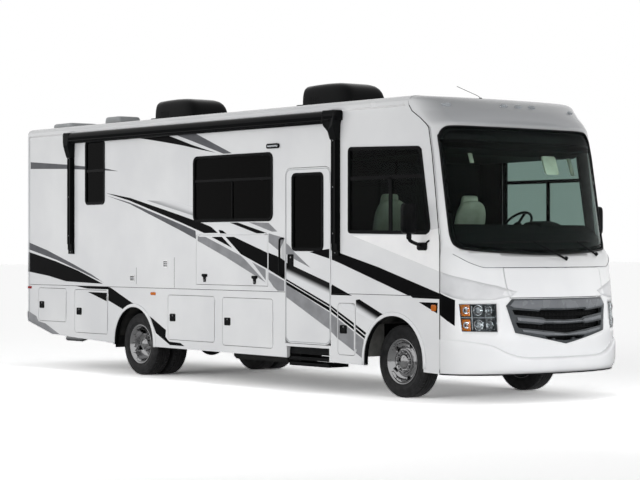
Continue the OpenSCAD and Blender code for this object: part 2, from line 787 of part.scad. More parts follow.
module awning() {
    x1 = fx - 670;
    x0 = x1 - awning_l;
    y1 = -side_y;
    color(trim_black) {
        along_x(x0 + 30, awning_l - 60)
            polygon([[y1, eave_z], [y1, eave_z - 95], [y1 - 60, eave_z - 100],
                     [y1 - 112, eave_z - 80], [y1 - 120, eave_z - 40], [y1 - 105, eave_z - 5],
                     [y1 - 60, eave_z + 5]]);
        for (x = [x0, x1 - 60])
            along_x(x, 60) polygon([[y1, eave_z], [y1, eave_z - 190], [y1 - 70, eave_z - 220],
                [y1 - 115, eave_z - 160], [y1 - 125, eave_z - 40], [y1 - 105, eave_z + 2]]);
        for (x = [x0, x1 - 300]) box([x + 10, y1 - 55, 1640], [x + 130, y1, eave_z - 96]);
    }
}

module air_conditioner(x) {
    intersection() {
        along_y(-ac_w / 2, ac_w) polygon([[x - ac_l / 2, roof_z], [x - ac_l / 2, roof_z + 0.8 * ac_h],
            [x - ac_l / 2 + 50, roof_z + ac_h - 10], [x, roof_z + ac_h],
            [x + ac_l / 2 - 140, roof_z + 0.93 * ac_h], [x + ac_l / 2 - 30, roof_z + 0.6 * ac_h],
            [x + ac_l / 2, roof_z]]);
        along_x(x - ac_l / 2, ac_l) polygon([[-ac_w / 2, roof_z], [-ac_w / 2, roof_z + 0.75 * ac_h],
            [-ac_w / 2 + 60, roof_z + ac_h], [ac_w / 2 - 60, roof_z + ac_h],
            [ac_w / 2, roof_z + 0.75 * ac_h], [ac_w / 2, roof_z]]);
    }
}

module air_conditioners() {
    color(trim_black) for (x = [rx - 470, fx - 2340]) air_conditioner(x);
}

module roof_vents() {
    color("#9a9ea0") {
        box([rx - 1867, -590, roof_z], [rx - 1467, -210, roof_z + 160]);
        along_x(rx - 2747, 500) polygon([[-930, roof_z], [-850, roof_z + 92], [-510, roof_z + 92],
                                         [-430, roof_z]]);
        box([fx - 3120, -380, roof_z], [fx - 3000, -260, roof_z + 60]);
    }
}

module mirror_unit() {
    y = -side_y;
    along_y(y - 30, 30) polygon(rr(fx + 520, 1700, fx + 690, 1795, 20));
    box([fx + 560, y - 205, 1730], [fx + 605, y - 25, 1775]);
    box([fx + 560, y - 250, 1730], [fx + 651, y - 205, 1775]);
    box([fx + 606, y - 250, 1730], [fx + 651, y - 205, 1895]);
    along_y(y - 320, 190) polygon(rr(fx + 591, 1890, fx + 671, 2230, 38));
}

module mirrors() {
    color(trim_black) for (s = [-1, 1]) side(s) mirror_unit();
}

wheel_y = 600;
wheel_z = 2000;
wheel_tilt = 48;
column_r = 28;

// Steering column's line, with its upper end at the wheel's centre
module column(r, l) {
    translate([fx + 190, wheel_y, wheel_z]) rotate([0, 180 - wheel_tilt, 0])
        cylinder(r = r, h = l, $fn = 32);
}

module dashboard() {
    z = 1700;
    color("#202224") difference() {
        intersection() {
            along_y(-side_y, body_w)
                polygon([[fx + 700, floor_z], [fx + 640, 1650], [fx + 520, 1800],
                         [fx + 560, 1960], [fx + 700, 2000], [fx + 900, 1900],
                         [fx + 1120, 1735], [fx + 1190, 1690], [fx + 1150, 1620],
                         [fx + 1000, floor_z]]);
            translate([0, 0, 1000]) linear_extrude(1500)
                polygon(concat([[fx + 400, -in_y + 1]], [for (j = [0:cap_cols])
                    let (p = cap_pt(z, 2 * j / cap_cols - 1, cap_t + 4, z)) [p[0], p[1] * 0.985]],
                    [[fx + 400, in_y - 1]]));
        }
        column(column_r + bead_gap, 660);
    }
}

module steering_wheel() {
    color(trim_black) translate([fx + 190, wheel_y, wheel_z]) rotate([0, -wheel_tilt, 0]) {
        rotate_extrude($fn = 72) translate([205, 0]) circle(r = 15, $fn = 24);
        translate([0, 0, -40]) cylinder(r = 55, h = 50, $fn = 36);
        for (a = [0, 120, 240]) rotate([0, 0, a]) box([30, -14, -12], [200, 14, 6]);
    }
    color(trim_black) column(column_r, 650);
}

seat_x = fx - 420;
seat_y = 650;
seat_w = 520;

module cab_seat() {
    y0 = -seat_y - seat_w / 2;
    box([seat_x - 160, -seat_y - 150, floor_z], [seat_x + 160, -seat_y + 150, 1500]);
    along_y(y0, seat_w) polygon([[seat_x - 290, 1500], [seat_x + 280, 1500],
        [seat_x + 300, 1580], [seat_x + 270, 1650], [seat_x - 190, 1640], [seat_x - 330, 2180],
        [seat_x - 350, 2400], [seat_x - 400, 2420], [seat_x - 440, 2380], [seat_x - 430, 2150]]);
}

module cab_seats() {
    color("#cfc8b4") for (s = [-1, 1]) side(s) cab_seat();
}

// ---- assembly --------------------------------------------------------------------------

chassis_frame();
hitch_receiver();
engine();
front_axle();
rear_axle();
right_knuckle();
left_knuckle();
front_right_tyre();
front_right_rim();
front_left_tyre();
front_left_rim();
rear_right_tyres();
rear_right_rims();
rear_left_tyres();
rear_left_rims();
underbody_tanks();
exhaust();
floor();
right_wall();
left_wall();
right_skirt();
left_skirt();
rear_wall();
rear_bumper();
roof();
front_cap();
hood();
grille();
front_bumper();
headlights();
windshield();
right_windows();
left_windows();
entry_door();
entry_door_window();
right_locker_door_1();
right_locker_door_2();
right_locker_door_3();
right_locker_door_4();
right_locker_door_5();
left_locker_door_1();
left_locker_door_2();
left_locker_door_3();
left_locker_door_4();
galley_door();
storage_bays();
entry_steps();
awning();
air_conditioners();
roof_vents();
mirrors();
dashboard();
steering_wheel();
cab_seats();
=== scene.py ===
import math
from bisect import bisect_right

import bpy
from mathutils import Matrix, Vector
from mathutils.geometry import delaunay_2d_cdt


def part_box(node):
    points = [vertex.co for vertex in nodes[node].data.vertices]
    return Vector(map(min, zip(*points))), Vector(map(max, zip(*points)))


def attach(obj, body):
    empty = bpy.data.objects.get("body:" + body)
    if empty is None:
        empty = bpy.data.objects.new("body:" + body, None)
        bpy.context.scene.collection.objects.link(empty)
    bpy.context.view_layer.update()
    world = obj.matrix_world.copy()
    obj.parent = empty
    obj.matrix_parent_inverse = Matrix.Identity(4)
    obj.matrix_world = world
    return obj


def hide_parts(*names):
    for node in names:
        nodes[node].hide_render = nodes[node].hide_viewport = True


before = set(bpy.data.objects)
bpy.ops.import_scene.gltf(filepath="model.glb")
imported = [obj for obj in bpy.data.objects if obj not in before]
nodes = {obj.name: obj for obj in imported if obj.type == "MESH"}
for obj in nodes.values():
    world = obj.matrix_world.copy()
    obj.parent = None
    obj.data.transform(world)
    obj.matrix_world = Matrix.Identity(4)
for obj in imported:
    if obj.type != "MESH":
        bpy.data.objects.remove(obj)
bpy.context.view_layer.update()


def middle(node):
    low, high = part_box(node)
    return (low + high) / 2


frontX = middle("front_right_rim").x  # the two axle lines, and the shell's main planes
rearX = middle("rear_right_rims").x
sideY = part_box("rear_wall")[1].y
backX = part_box("rear_wall")[0].x
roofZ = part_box("roof")[1].z
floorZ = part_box("floor")[1].z
print("frame loaded", round(frontX, 3), round(rearX, 3), round(sideY, 3))

# ---- small tools: nodes, materials, meshes


def linear(hexText):
    channels = [int(hexText[i:i + 2], 16) / 255 for i in (1, 3, 5)]
    return (*[c / 12.92 if c <= 0.04045 else ((c + 0.055) / 1.055) ** 2.4 for c in channels], 1.0)


def addNode(tree, kind, settings=None, links=None):
    node = tree.nodes.new(kind)
    for key, value in (settings or {}).items():
        if isinstance(key, int) or key in node.inputs:
            node.inputs[key].default_value = value
        else:
            setattr(node, key, value)
    for socket, source in (links or {}).items():
        tree.links.new(source, node.inputs[socket])
    return node


def newMaterial(name, hexText, roughness, **sockets):
    material = bpy.data.materials.new(name)
    material.use_nodes = True
    shader = material.node_tree.nodes["Principled BSDF"]
    shader.inputs["Base Color"].default_value = linear(hexText)
    shader.inputs["Roughness"].default_value = roughness
    for key, value in sockets.items():
        shader.inputs[key.replace("_", " ")].default_value = value
    material.diffuse_color = linear(hexText)
    return material, material.node_tree, shader


def objectNoise(tree, sizeMm, detail=2.0, stretch=(1, 1, 1)):
    place = addNode(tree, "ShaderNodeTexCoord")
    scaled = addNode(tree, "ShaderNodeMapping", {"Scale": stretch}, {"Vector": place.outputs["Object"]})
    return addNode(tree, "ShaderNodeTexNoise", {"Scale": 1000 / sizeMm, "Detail": detail},
                   {"Vector": scaled.outputs["Vector"]})


def inObjectSpace(tree, texture):
    tree.links.new(addNode(tree, "ShaderNodeTexCoord").outputs["Object"], texture.inputs["Vector"])


def addBump(tree, shader, height, strength, distanceMm):
    bump = addNode(tree, "ShaderNodeBump", {"Strength": strength, "Distance": distanceMm / 1000},
                   {"Height": height})
    tree.links.new(bump.outputs["Normal"], shader.inputs["Normal"])


def varyRoughness(tree, shader, noise, low, high):
    spread = addNode(tree, "ShaderNodeMapRange", {"To Min": low, "To Max": high},
                     {"Value": noise.outputs["Fac"]})
    tree.links.new(spread.outputs["Result"], shader.inputs["Roughness"])


def varyColour(tree, shader, source, darkHex, lightHex, low=0.35, high=0.65):
    ramp = addNode(tree, "ShaderNodeValToRGB", None, {"Fac": source})
    ramp.color_ramp.elements[0].position = low
    ramp.color_ramp.elements[1].position = high
    ramp.color_ramp.elements[0].color = linear(darkHex)
    ramp.color_ramp.elements[1].color = linear(lightHex)
    tree.links.new(ramp.outputs["Color"], shader.inputs["Base Color"])


brow = {  # where painted shade turns the cap's brow from white to grey: heights, and distance ahead along a lean
    "browShadeFrom": 3.10, "browShadeFull": 3.16, "lean": 0.9, "leanFrom": 3.2, "aheadFrom": 0.60, "aheadFull": 0.80,
}


def gelcoatFibreglass(name, paintedBrowShade=False):
    # polished gelcoat over glass fibre: milky white, a clear gloss, and long faint waves in
    # what it reflects; on the brow a painted shade deepens it to grey
    material, tree, shader = newMaterial(name, "#e4e5e7", 0.24, Coat_Weight=0.35, Coat_Roughness=0.08)
    waves = objectNoise(tree, 420, 1.0)
    addBump(tree, shader, waves.outputs["Fac"], 0.12, 6)
    film = objectNoise(tree, 900, 3.0)
    varyColour(tree, shader, film.outputs["Fac"], "#dfe0e2", "#e8e9ea")
    varyRoughness(tree, shader, film, 0.2, 0.3)
    if paintedBrowShade:
        # painted shade: above the windshield and towards the front, the brow is mixed towards grey #b6b8bb,
        # as its up-facing surface looks when shaded
        white = shader.inputs["Base Color"].links[0].from_socket
        place = addNode(tree, "ShaderNodeTexCoord")
        split = addNode(tree, "ShaderNodeSeparateXYZ", None, {"Vector": place.outputs["Object"]})
        rise = addNode(tree, "ShaderNodeMapRange",
                       {"From Min": brow["browShadeFrom"], "From Max": brow["browShadeFull"]},
                       {"Value": split.outputs["Z"]})
        ahead = addNode(tree, "ShaderNodeMath", {"operation": "MULTIPLY_ADD", 1: brow["lean"],
                                                  2: -brow["lean"] * brow["leanFrom"] - frontX},
                        {0: split.outputs["Z"]})
        forward = addNode(tree, "ShaderNodeMath", {"operation": "ADD"},
                          {0: ahead.outputs[0], 1: split.outputs["X"]})
        turned = addNode(tree, "ShaderNodeMapRange",
                         {"From Min": brow["aheadFrom"], "From Max": brow["aheadFull"]},
                         {"Value": forward.outputs[0]})
        share = addNode(tree, "ShaderNodeMath", {"operation": "MULTIPLY"},
                        {0: rise.outputs["Result"], 1: turned.outputs["Result"]})
        tone = addNode(tree, "ShaderNodeMix", {"data_type": "RGBA"}, {"Factor": share.outputs[0], 6: white})
        tone.inputs[7].default_value = linear("#b6b8bb")
        tree.links.new(tone.outputs[2], shader.inputs["Base Color"])
    return material


def castVinyl(name, darkHex, lightHex, roughness=0.28, specular=0.3):
    # cast vinyl film: even colour, softer gloss than the gelcoat under it
    material, tree, shader = newMaterial(name, lightHex, roughness, Specular_IOR_Level=specular)
    film = objectNoise(tree, 160, 3.0)
    varyColour(tree, shader, film.outputs["Fac"], darkHex, lightHex)
    varyRoughness(tree, shader, film, roughness - 0.05, roughness + 0.06)
    return material


def fadingVinyl(name, lowHex, highHex, slope, low, high):
    # printed vinyl whose tone fades across a slanting band: low and high are heights above the
    # front axle's station, and the band falls by slope towards the front
    material, tree, shader = newMaterial(name, lowHex, 0.3, Specular_IOR_Level=0.12)
    place = addNode(tree, "ShaderNodeTexCoord")
    split = addNode(tree, "ShaderNodeSeparateXYZ", None, {"Vector": place.outputs["Object"]})
    rise = addNode(tree, "ShaderNodeMath", {"operation": "MULTIPLY_ADD", 1: slope, 2: -slope * frontX},
                   {0: split.outputs["X"]})
    height = addNode(tree, "ShaderNodeMath", {"operation": "ADD"},
                     {0: rise.outputs[0], 1: split.outputs["Z"]})
    across = addNode(tree, "ShaderNodeMapRange", {"interpolation_type": "SMOOTHSTEP", "From Min": low,
                                                  "From Max": high}, {"Value": height.outputs[0]})
    varyColour(tree, shader, across.outputs["Result"], lowHex, highHex, 0.0, 1.0)
    return material


def mouldedAbs(name, hexText, darker, roughness, grainMm=1.6, specular=0.14):
    # injection-moulded ABS with a fine pebble grain: dull sheen, the tone a shade darker in soft clouds
    material, tree, shader = newMaterial(name, hexText, roughness, Specular_IOR_Level=specular)
    grain = addNode(tree, "ShaderNodeTexVoronoi", {"Scale": 1000 / grainMm})
    inObjectSpace(tree, grain)
    addBump(tree, shader, grain.outputs["Distance"], 0.18, 0.4)
    cloud = objectNoise(tree, 220, 3.0)
    varyColour(tree, shader, cloud.outputs["Fac"], darker, hexText)
    varyRoughness(tree, shader, cloud, roughness - 0.08, roughness + 0.1)
    return material


def polishedChrome():
    # chrome plate over stainless: mirror-bright with the faintest haze
    material, tree, shader = newMaterial("polishedChrome", "#a6a6a7", 0.12, Metallic=1.0)
    haze = objectNoise(tree, 60, 3.0)
    varyRoughness(tree, shader, haze, 0.08, 0.18)
    return material


def brushedSteel():
    # mild steel, machined: grey, streaked along its length, dull
    material, tree, shader = newMaterial("machinedSteel", "#8b8d8f", 0.38, Metallic=1.0)
    streak = objectNoise(tree, 30, 4.0, (1, 14, 14))
    varyColour(tree, shader, streak.outputs["Fac"], "#77797b", "#96989a")
    varyRoughness(tree, shader, streak, 0.3, 0.5)
    return material


def chassisPaint():
    # brushed black chassis paint over hot-rolled steel: dull, with road dust in soft patches
    material, tree, shader = newMaterial("chassisPaint", "#17181a", 0.55, Specular_IOR_Level=0.2)
    dust = objectNoise(tree, 180, 6.0)
    varyColour(tree, shader, dust.outputs["Fac"], "#121314", "#2b2a28")
    varyRoughness(tree, shader, dust, 0.45, 0.75)
    addBump(tree, shader, objectNoise(tree, 5, 3.0).outputs["Fac"], 0.15, 0.5)
    return material


def castIron():
    # sand-cast iron block and gearbox: grainy, dark grey, no gloss
    material, tree, shader = newMaterial("sandCastIron", "#3b3c3e", 0.6, Metallic=0.5)
    grain = objectNoise(tree, 6, 5.0)
    varyColour(tree, shader, grain.outputs["Fac"], "#2e2f31", "#4a4b4d")
    addBump(tree, shader, grain.outputs["Fac"], 0.4, 1.0)
    return material


def tyreRubber():
    # carbon-black tyre rubber: charcoal rather than black, with a dusty bloom
    material, tree, shader = newMaterial("tyreRubber", "#1d1d1e", 0.68, Sheen_Weight=0.08,
                                         Specular_IOR_Level=0.25)
    bloom = objectNoise(tree, 70, 5.0)
    varyColour(tree, shader, bloom.outputs["Fac"], "#161617", "#2a2a2b")
    varyRoughness(tree, shader, bloom, 0.58, 0.8)
    addBump(tree, shader, objectNoise(tree, 2.5, 3.0).outputs["Fac"], 0.2, 0.3)
    return material


def sealRubber():
    # extruded EPDM seal: soft black, a dull line of light along its crown
    material, tree, shader = newMaterial("sealRubber", "#0d0d0e", 0.45, Specular_IOR_Level=0.15)
    bloom = objectNoise(tree, 90, 3.0)
    varyColour(tree, shader, bloom.outputs["Fac"], "#0a0a0b", "#151516")
    varyRoughness(tree, shader, bloom, 0.38, 0.55)
    return material


def tintedGlass(name, hexText, ior=1.14):
    # toughened glass, tinted in the mass: dark by transmission; the index is set low, so that
    # the bright studio doesn't veil what lies behind the pane
    material, tree, shader = newMaterial(name, hexText, 0.0, IOR=ior)
    shader.inputs["Transmission Weight"].default_value = 1.0
    wave = objectNoise(tree, 700, 1.0)
    addBump(tree, shader, wave.outputs["Fac"], 0.04, 2)
    return material


def acrylicLens(name, hexText, transmission=0.55):
    # injection-moulded acrylic lens with fine vertical flutes that break up the light
    material, tree, shader = newMaterial(name, hexText, 0.12, IOR=1.49)
    shader.inputs["Transmission Weight"].default_value = transmission
    flutes = addNode(tree, "ShaderNodeTexWave", {"Scale": 1000 / 14 / 6.283, "bands_direction": "Y"})
    inObjectSpace(tree, flutes)
    addBump(tree, shader, flutes.outputs["Fac"], 0.35, 1.0)
    return material


def seatLeather():
    # coated upholstery leather: cream, fine pebbled grain, a low waxy sheen
    material, tree, shader = newMaterial("seatLeather", "#cbc6b4", 0.5, Sheen_Weight=0.1)
    grain = addNode(tree, "ShaderNodeTexVoronoi", {"Scale": 1000 / 4})
    inObjectSpace(tree, grain)
    addBump(tree, shader, grain.outputs["Distance"], 0.35, 0.8)
    cloud = objectNoise(tree, 120, 4.0)
    varyColour(tree, shader, cloud.outputs["Fac"], "#cfcab8", "#e3dfd0")
    varyRoughness(tree, shader, cloud, 0.42, 0.6)
    return material


def awningVinyl():
    # woven polyester coated with vinyl, rolled up: black with a faint rib
    material, tree, shader = newMaterial("awningVinyl", "#131415", 0.6, Specular_IOR_Level=0.15)
    rib = addNode(tree, "ShaderNodeTexWave", {"Scale": 1000 / 9 / 6.283, "bands_direction": "Z"})
    inObjectSpace(tree, rib)
    addBump(tree, shader, rib.outputs["Fac"], 0.4, 0.8)
    return material


def vinylPlank():
    # printed vinyl plank floor: oak grain along the coach, satin
    material, tree, shader = newMaterial("vinylPlank", "#7a6753", 0.45)
    grain = objectNoise(tree, 40, 5.0, (0.12, 1, 1))
    varyColour(tree, shader, grain.outputs["Fac"], "#5f4f3e", "#8b7760")
    return material


def shadeLiningFelt():
    # needled felt lining on the inside of the walls, no gloss: its charcoal colour is painted shade that
    # keeps the unlit interior dark
    material, tree, shader = newMaterial("shadeLiningFelt", "#151617", 0.95, Specular_IOR_Level=0.1)
    shadeFelt = objectNoise(tree, 12, 6.0)
    varyColour(tree, shader, shadeFelt.outputs["Fac"], "#0f1011", "#1b1c1d")
    addBump(tree, shader, shadeFelt.outputs["Fac"], 0.3, 1.0)
    return material


def bayLiner():
    # rotomoulded polyethylene tray: warm pale grey, waxy, slightly rippled
    material, tree, shader = newMaterial("bayLiner", "#a9a9a5", 0.5)
    ripple = objectNoise(tree, 90, 2.0)
    addBump(tree, shader, ripple.outputs["Fac"], 0.25, 2.0)
    varyColour(tree, shader, ripple.outputs["Fac"], "#9d9d99", "#b3b3af")
    return material


finish = {
    "gelcoat": gelcoatFibreglass("gelcoatFibreglass"),
    "capGelcoatBrowShade": gelcoatFibreglass("browPaintedShadeGelcoat", True),
    "blackVinyl": castVinyl("blackVinylFilm", "#050506", "#09090b", 0.34, 0.04),
    "greyVinyl": castVinyl("greyVinylFilm", "#838487", "#929396", 0.32),
    "slateVinyl": castVinyl("slateVinylFilm", "#55565a", "#606165", 0.32, 0.2),
    "paleVinyl": castVinyl("paleVinylFilm", "#cccdcf", "#d4d5d7", 0.3),
    "whiteVinyl": castVinyl("whiteVinylFilm", "#f6f6f7", "#fbfbfb", 0.3),
    "blackAbs": mouldedAbs("blackMouldedAbs", "#111213", "#0c0d0e", 0.42, 1.6, 0.08),
    "gloss": mouldedAbs("glossBlackAbs", "#0a0b0c", "#070809", 0.2, 40, 0.07),
    "greyAbs": mouldedAbs("greyPaintedAbs", "#3e4144", "#363a3d", 0.3, 30, 0.35),
    "brow": mouldedAbs("brightGreyAbs", "#707377", "#64676b", 0.26, 30, 0.45),
    "ventAbs": mouldedAbs("paleVentAbs", "#b9bcbe", "#abaeb0", 0.45, 1.6, 0.4),
    "dash": mouldedAbs("dashFoam", "#141516", "#0e0f10", 0.7, 3, 0.08),
    "chrome": polishedChrome(),
    "steel": brushedSteel(),
    "chassis": chassisPaint(),
    "iron": castIron(),
    "tyre": tyreRubber(),
    "seal": sealRubber(),
    "windshield": tintedGlass("laminatedWindshield", "#d0e2dc", 1.1),
    "tintBand": tintedGlass("shadedInterlayer", "#1e4048", 1.1),
    "cabGlass": tintedGlass("tintedCabGlass", "#828f8b", 1.1),
    "darkGlass": tintedGlass("privacyGlass", "#101211", 1.1),
    "lampGlass": tintedGlass("polycarbonateCover", "#e9eef0", 1.12),
    "amber": acrylicLens("amberAcrylic", "#d9720f", 0.3),
    "red": acrylicLens("redAcrylic", "#a30f14", 0.3),
    "clearLens": acrylicLens("clearAcrylic", "#dfe4e8", 0.6),
    "leather": seatLeather(),
    "awning": awningVinyl(),
    "planks": vinylPlank(),
    "shadeFelt": shadeLiningFelt(),
    "liner": bayLiner(),
}
print("materials ready", len(finish))


def linkedObject(name, data):
    made = bpy.data.objects.new(name, data)
    bpy.context.scene.collection.objects.link(made)
    return made


def meshPiece(name, points, faces, material, body="coach", smooth=False):
    mesh = bpy.data.meshes.new(name)
    mesh.from_pydata([tuple(p) for p in points], [], faces)
    mesh.validate()
    mesh.update()
    if smooth:
        mesh.shade_smooth()
    piece = linkedObject(name, mesh)
    mesh.materials.append(material)
    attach(piece, body)
    return piece


def joined(name, parts, material, body="coach", smooth=False):
    # parts is a list of (points, faces)
    points, faces = [], []
    for morePoints, moreFaces in parts:
        base = len(points)
        points += [tuple(p) for p in morePoints]
        faces += [[base + i for i in face] for face in moreFaces]
    return meshPiece(name, points, faces, material, body, smooth)


def withModifier(piece, kind, **settings):
    modifier = piece.modifiers.new(kind.title(), kind)
    for key, value in settings.items():
        setattr(modifier, key, value)
    return piece


def sharpEdges(piece, degrees=35):
    # smooth faces, with hard edges only where the shape really turns
    mesh = piece.data
    mesh.shade_smooth()
    mesh.set_sharp_from_angle(angle=math.radians(degrees))
    return piece


def roundRect(x0, z0, x1, z1, radius, steps=6):
    corners = [(x1 - radius, z1 - radius, 0), (x0 + radius, z1 - radius, 90),
               (x0 + radius, z0 + radius, 180), (x1 - radius, z0 + radius, 270)]
    return [(cx + radius * math.cos(math.radians(a + 90 * i / steps)),
             cz + radius * math.sin(math.radians(a + 90 * i / steps)))
            for cx, cz, a in corners for i in range(steps + 1)]


def outward(points, faces):
    # turns a closed part right side out, by the sign of its volume
    pts = [Vector(p) for p in points]
    volume = 0.0
    for face in faces:
        for k in range(1, len(face) - 1):
            volume += pts[face[0]].dot(pts[face[k]].cross(pts[face[k + 1]]))
    return points, faces if volume >= 0 else [face[::-1] for face in faces]


def prism(outline, depth0, depth1, lift):
    # lift turns (u, v, depth) into a point; the outline may be concave
    n = len(outline)
    points = [lift(u, v, d) for d in (depth0, depth1) for u, v in outline]
    sides = [[i, (i + 1) % n, n + (i + 1) % n, n + i] for i in range(n)]
    return outward(points, [list(range(n - 1, -1, -1)), list(range(n, 2 * n))] + sides)


def onSide(hand=-1):
    # hand is -1 for the door side and 1 for the driver's side; depth goes outward
    return lambda x, z, d: (x, hand * (sideY + d), z)


def boxPart(low, high):
    (x0, y0, z0), (x1, y1, z1) = low, high
    points = [(x, y, z) for x in (x0, x1) for y in (y0, y1) for z in (z0, z1)]
    return points, [[0, 1, 3, 2], [4, 6, 7, 5], [0, 4, 5, 1], [2, 3, 7, 6], [0, 2, 6, 4], [1, 5, 7, 3]]


def lathePart(profile, place, steps=72):
    # profile is (radius, outward); place turns (outward, side, up) into a point
    points, faces = [], []
    for i in range(steps):
        a = 2 * math.pi * i / steps
        points += [place(out, r * math.cos(a), r * math.sin(a)) for r, out in profile]
    m = len(profile)
    for i in range(steps):
        j = (i + 1) % steps
        faces += [[i * m + k, j * m + k, j * m + k + 1, i * m + k + 1] for k in range(m - 1)]
    return points, faces


def tubePart(path, radius, sides=10, closed=False):
    path = [Vector(p) for p in path]
    n = len(path)
    points, faces = [], []
    side = None
    for i, p in enumerate(path):
        ahead = path[(i + 1) % n] if closed or i < n - 1 else p
        behind = path[i - 1] if closed or i > 0 else p
        along = (ahead - behind).normalized()
        if side is None:
            side = along.cross(Vector((0, 0, 1)))
            if side.length < 0.1:
                side = along.cross(Vector((0, 1, 0)))
        side = (side - along * side.dot(along)).normalized()
        up = along.cross(side)
        for k in range(sides):
            a = 2 * math.pi * k / sides
            points.append(p + radius * (math.cos(a) * side + math.sin(a) * up))
    rings = n if closed else n - 1
    for i in range(rings):
        j = (i + 1) % n
        faces += [[i * sides + k, i * sides + (k + 1) % sides, j * sides + (k + 1) % sides,
                   j * sides + k] for k in range(sides)]
    if not closed:
        faces += [list(range(sides - 1, -1, -1)), [(n - 1) * sides + k for k in range(sides)]]
    return points, faces


def smoothPath(points, steps=6, closed=False):
    # Catmull-Rom through the points
    pts = [Vector(p) for p in points]
    n = len(pts)
    out = []
    for i in range(n if closed else n - 1):
        p0 = pts[i - 1] if closed or i > 0 else pts[i]
        p1, p2 = pts[i], pts[(i + 1) % n]
        p3 = pts[(i + 2) % n] if closed or i < n - 2 else p2
        for k in range(steps):
            t = k / steps
            out.append(0.5 * (2 * p1 + (p2 - p0) * t + (2 * p0 - 5 * p1 + 4 * p2 - p3) * t * t
                              + (3 * p1 - p0 - 3 * p2 + p3) * t ** 3))
    if not closed:
        out.append(pts[-1])
    return out


def smoothLine(points):
    # monotone cubic through (x, y) points, as a function of x
    xs, ys = [p[0] for p in points], [p[1] for p in points]
    n = len(xs)
    rise = [(ys[i + 1] - ys[i]) / (xs[i + 1] - xs[i]) for i in range(n - 1)]
    slope = [rise[0]] + [0 if rise[i - 1] * rise[i] <= 0 else
                         2 * rise[i - 1] * rise[i] / (rise[i - 1] + rise[i])
                         for i in range(1, n - 1)] + [rise[-1]]

    def at(x):
        x = min(max(x, xs[0]), xs[-1])
        i = max(0, min(n - 2, bisect_right(xs, x) - 1))
        h = xs[i + 1] - xs[i]
        t = (x - xs[i]) / h
        return (ys[i] * (1 + 2 * t) * (1 - t) ** 2 + slope[i] * h * t * (1 - t) ** 2
                + ys[i + 1] * t * t * (3 - 2 * t) + slope[i + 1] * h * t * t * (t - 1))
    return at


def straightLine(points):
    xs, ys = [p[0] for p in points], [p[1] for p in points]

    def at(x):
        x = min(max(x, xs[0]), xs[-1])
        i = max(0, min(len(xs) - 2, bisect_right(xs, x) - 1))
        return ys[i] + (ys[i + 1] - ys[i]) * (x - xs[i]) / (xs[i + 1] - xs[i])
    return at


def mirrored(points):
    return [(-y, z) for y, z in reversed(points)]

# ---- the front's shape: one skin that every front panel lies on

front = {
    "nose": [(0.48, 1.585), (0.60, 1.592), (0.72, 1.600), (0.80, 1.596), (0.90, 1.580), (1.17, 1.545),
             (1.49, 1.469), (1.505, 1.465), (1.52, 1.449), (1.58, 1.400), (1.655, 1.310), (1.70, 1.275),
             (1.79, 1.251), (2.38, 1.093), (2.80, 0.980), (3.08, 0.905), (3.12, 0.935), (3.20, 0.950),
             (3.28, 0.925), (3.35, 0.860), (3.41, 0.770), (3.45, 0.640), (3.47, 0.360)],
    "inset": [(0.33, 0), (1.60, 0), (1.80, 0.015), (2.80, 0.020), (3.08, 0.020), (3.12, 0.005),
              (3.35, 0), (3.41, 0.004), (3.45, 0.060), (3.47, 0.160)],
    "seam": [(0.30, 0.890), (1.79, 0.890), (2.38, 0.817), (2.80, 0.760), (3.08, 0.706),
             (3.12, 0.668), (3.20, 0.560), (3.28, 0.425), (3.35, 0.372), (3.41, 0.360), (3.47, 0.360)],
    "creaseLift": [(0, 0), (0.95, 0), (1.10, 0.05), (1.20, 0.12), (1.255, 0.18)],
    "bumperTop": [(0, 0.50), (0.50, 0.502), (0.62, 0.512), (0.78, 0.552), (0.98, 0.648), (1.275, 0.705)],
    "bumperLow": 0.33,
    "roundness": 2.2,
}


def alongProfile():
    # distance along the nose line, which stands in for height where the top turns flat
    travel, last = [], None
    for z, x in front["nose"]:
        step = 0 if last is None else (z - last[1] if z <= 3.201 else math.hypot(x - last[0], z - last[1]))
        travel.append((travel[-1] if travel else z) + step)
        last = (x, z)
    return travel


travel = alongProfile()
topTravel = travel[-1]
noseAt = smoothLine(list(zip(travel, [p[1] for p in front["nose"]])))
heightAt = smoothLine(list(zip(travel, [p[0] for p in front["nose"]])))
insetAt = smoothLine(front["inset"])
seamAt = straightLine(front["seam"])
creaseLift = smoothLine(front["creaseLift"])
bumperTop = smoothLine(front["bumperTop"])


def ease(x, low, high):
    t = min(max((x - low) / (high - low), 0), 1)
    return t * t * (3 - 2 * t)


def skinPoint(s, q, off=0.0):
    # s runs from -1, the door side, to 1; q is height, or travel above the brow
    z = heightAt(q)
    n = front["roundness"]
    s = min(max(s, -1), 1)
    reach = math.sin(math.radians(90 * abs(s))) ** (2 / n)
    y = (sideY - insetAt(z) - off) * reach
    lift = creaseLift(y) * ease(q, 1.25, 1.45) * (1 - ease(q, 1.62, 1.85))
    deep = max(0, noseAt(q - lift) - off - seamAt(z))
    x = frontX + seamAt(z) + deep * max(math.cos(math.radians(90 * abs(s))), 0) ** (2 / n)
    return Vector((x, math.copysign(y, s), z))


def acrossAt(y, z, off=0.0):
    # the s of a point y across, at height z
    share = min(abs(y) / (sideY - insetAt(z) - off), 1)
    return math.copysign(math.degrees(math.asin(share ** (front["roundness"] / 2))) / 90, y)


def onSkin(y, z, off=0.0):
    return skinPoint(acrossAt(y, z, off), z, off)


def skinNormal(y, z):
    a = onSkin(y + 0.01, z) - onSkin(y - 0.01, z)
    b = onSkin(y, z + 0.01) - onSkin(y, z - 0.01)
    normal = a.cross(b).normalized()
    return normal if normal.x > 0 else -normal


def split(outline, longest, closed=True):
    out = []
    n = len(outline)
    for i in range(n if closed else n - 1):
        (u0, v0), (u1, v1) = outline[i], outline[(i + 1) % n]
        steps = max(1, math.ceil(math.hypot(u1 - u0, v1 - v0) / longest))
        out += [(u0 + (u1 - u0) * k / steps, v0 + (v1 - v0) * k / steps) for k in range(steps)]
    return out if closed else out + [outline[-1]]


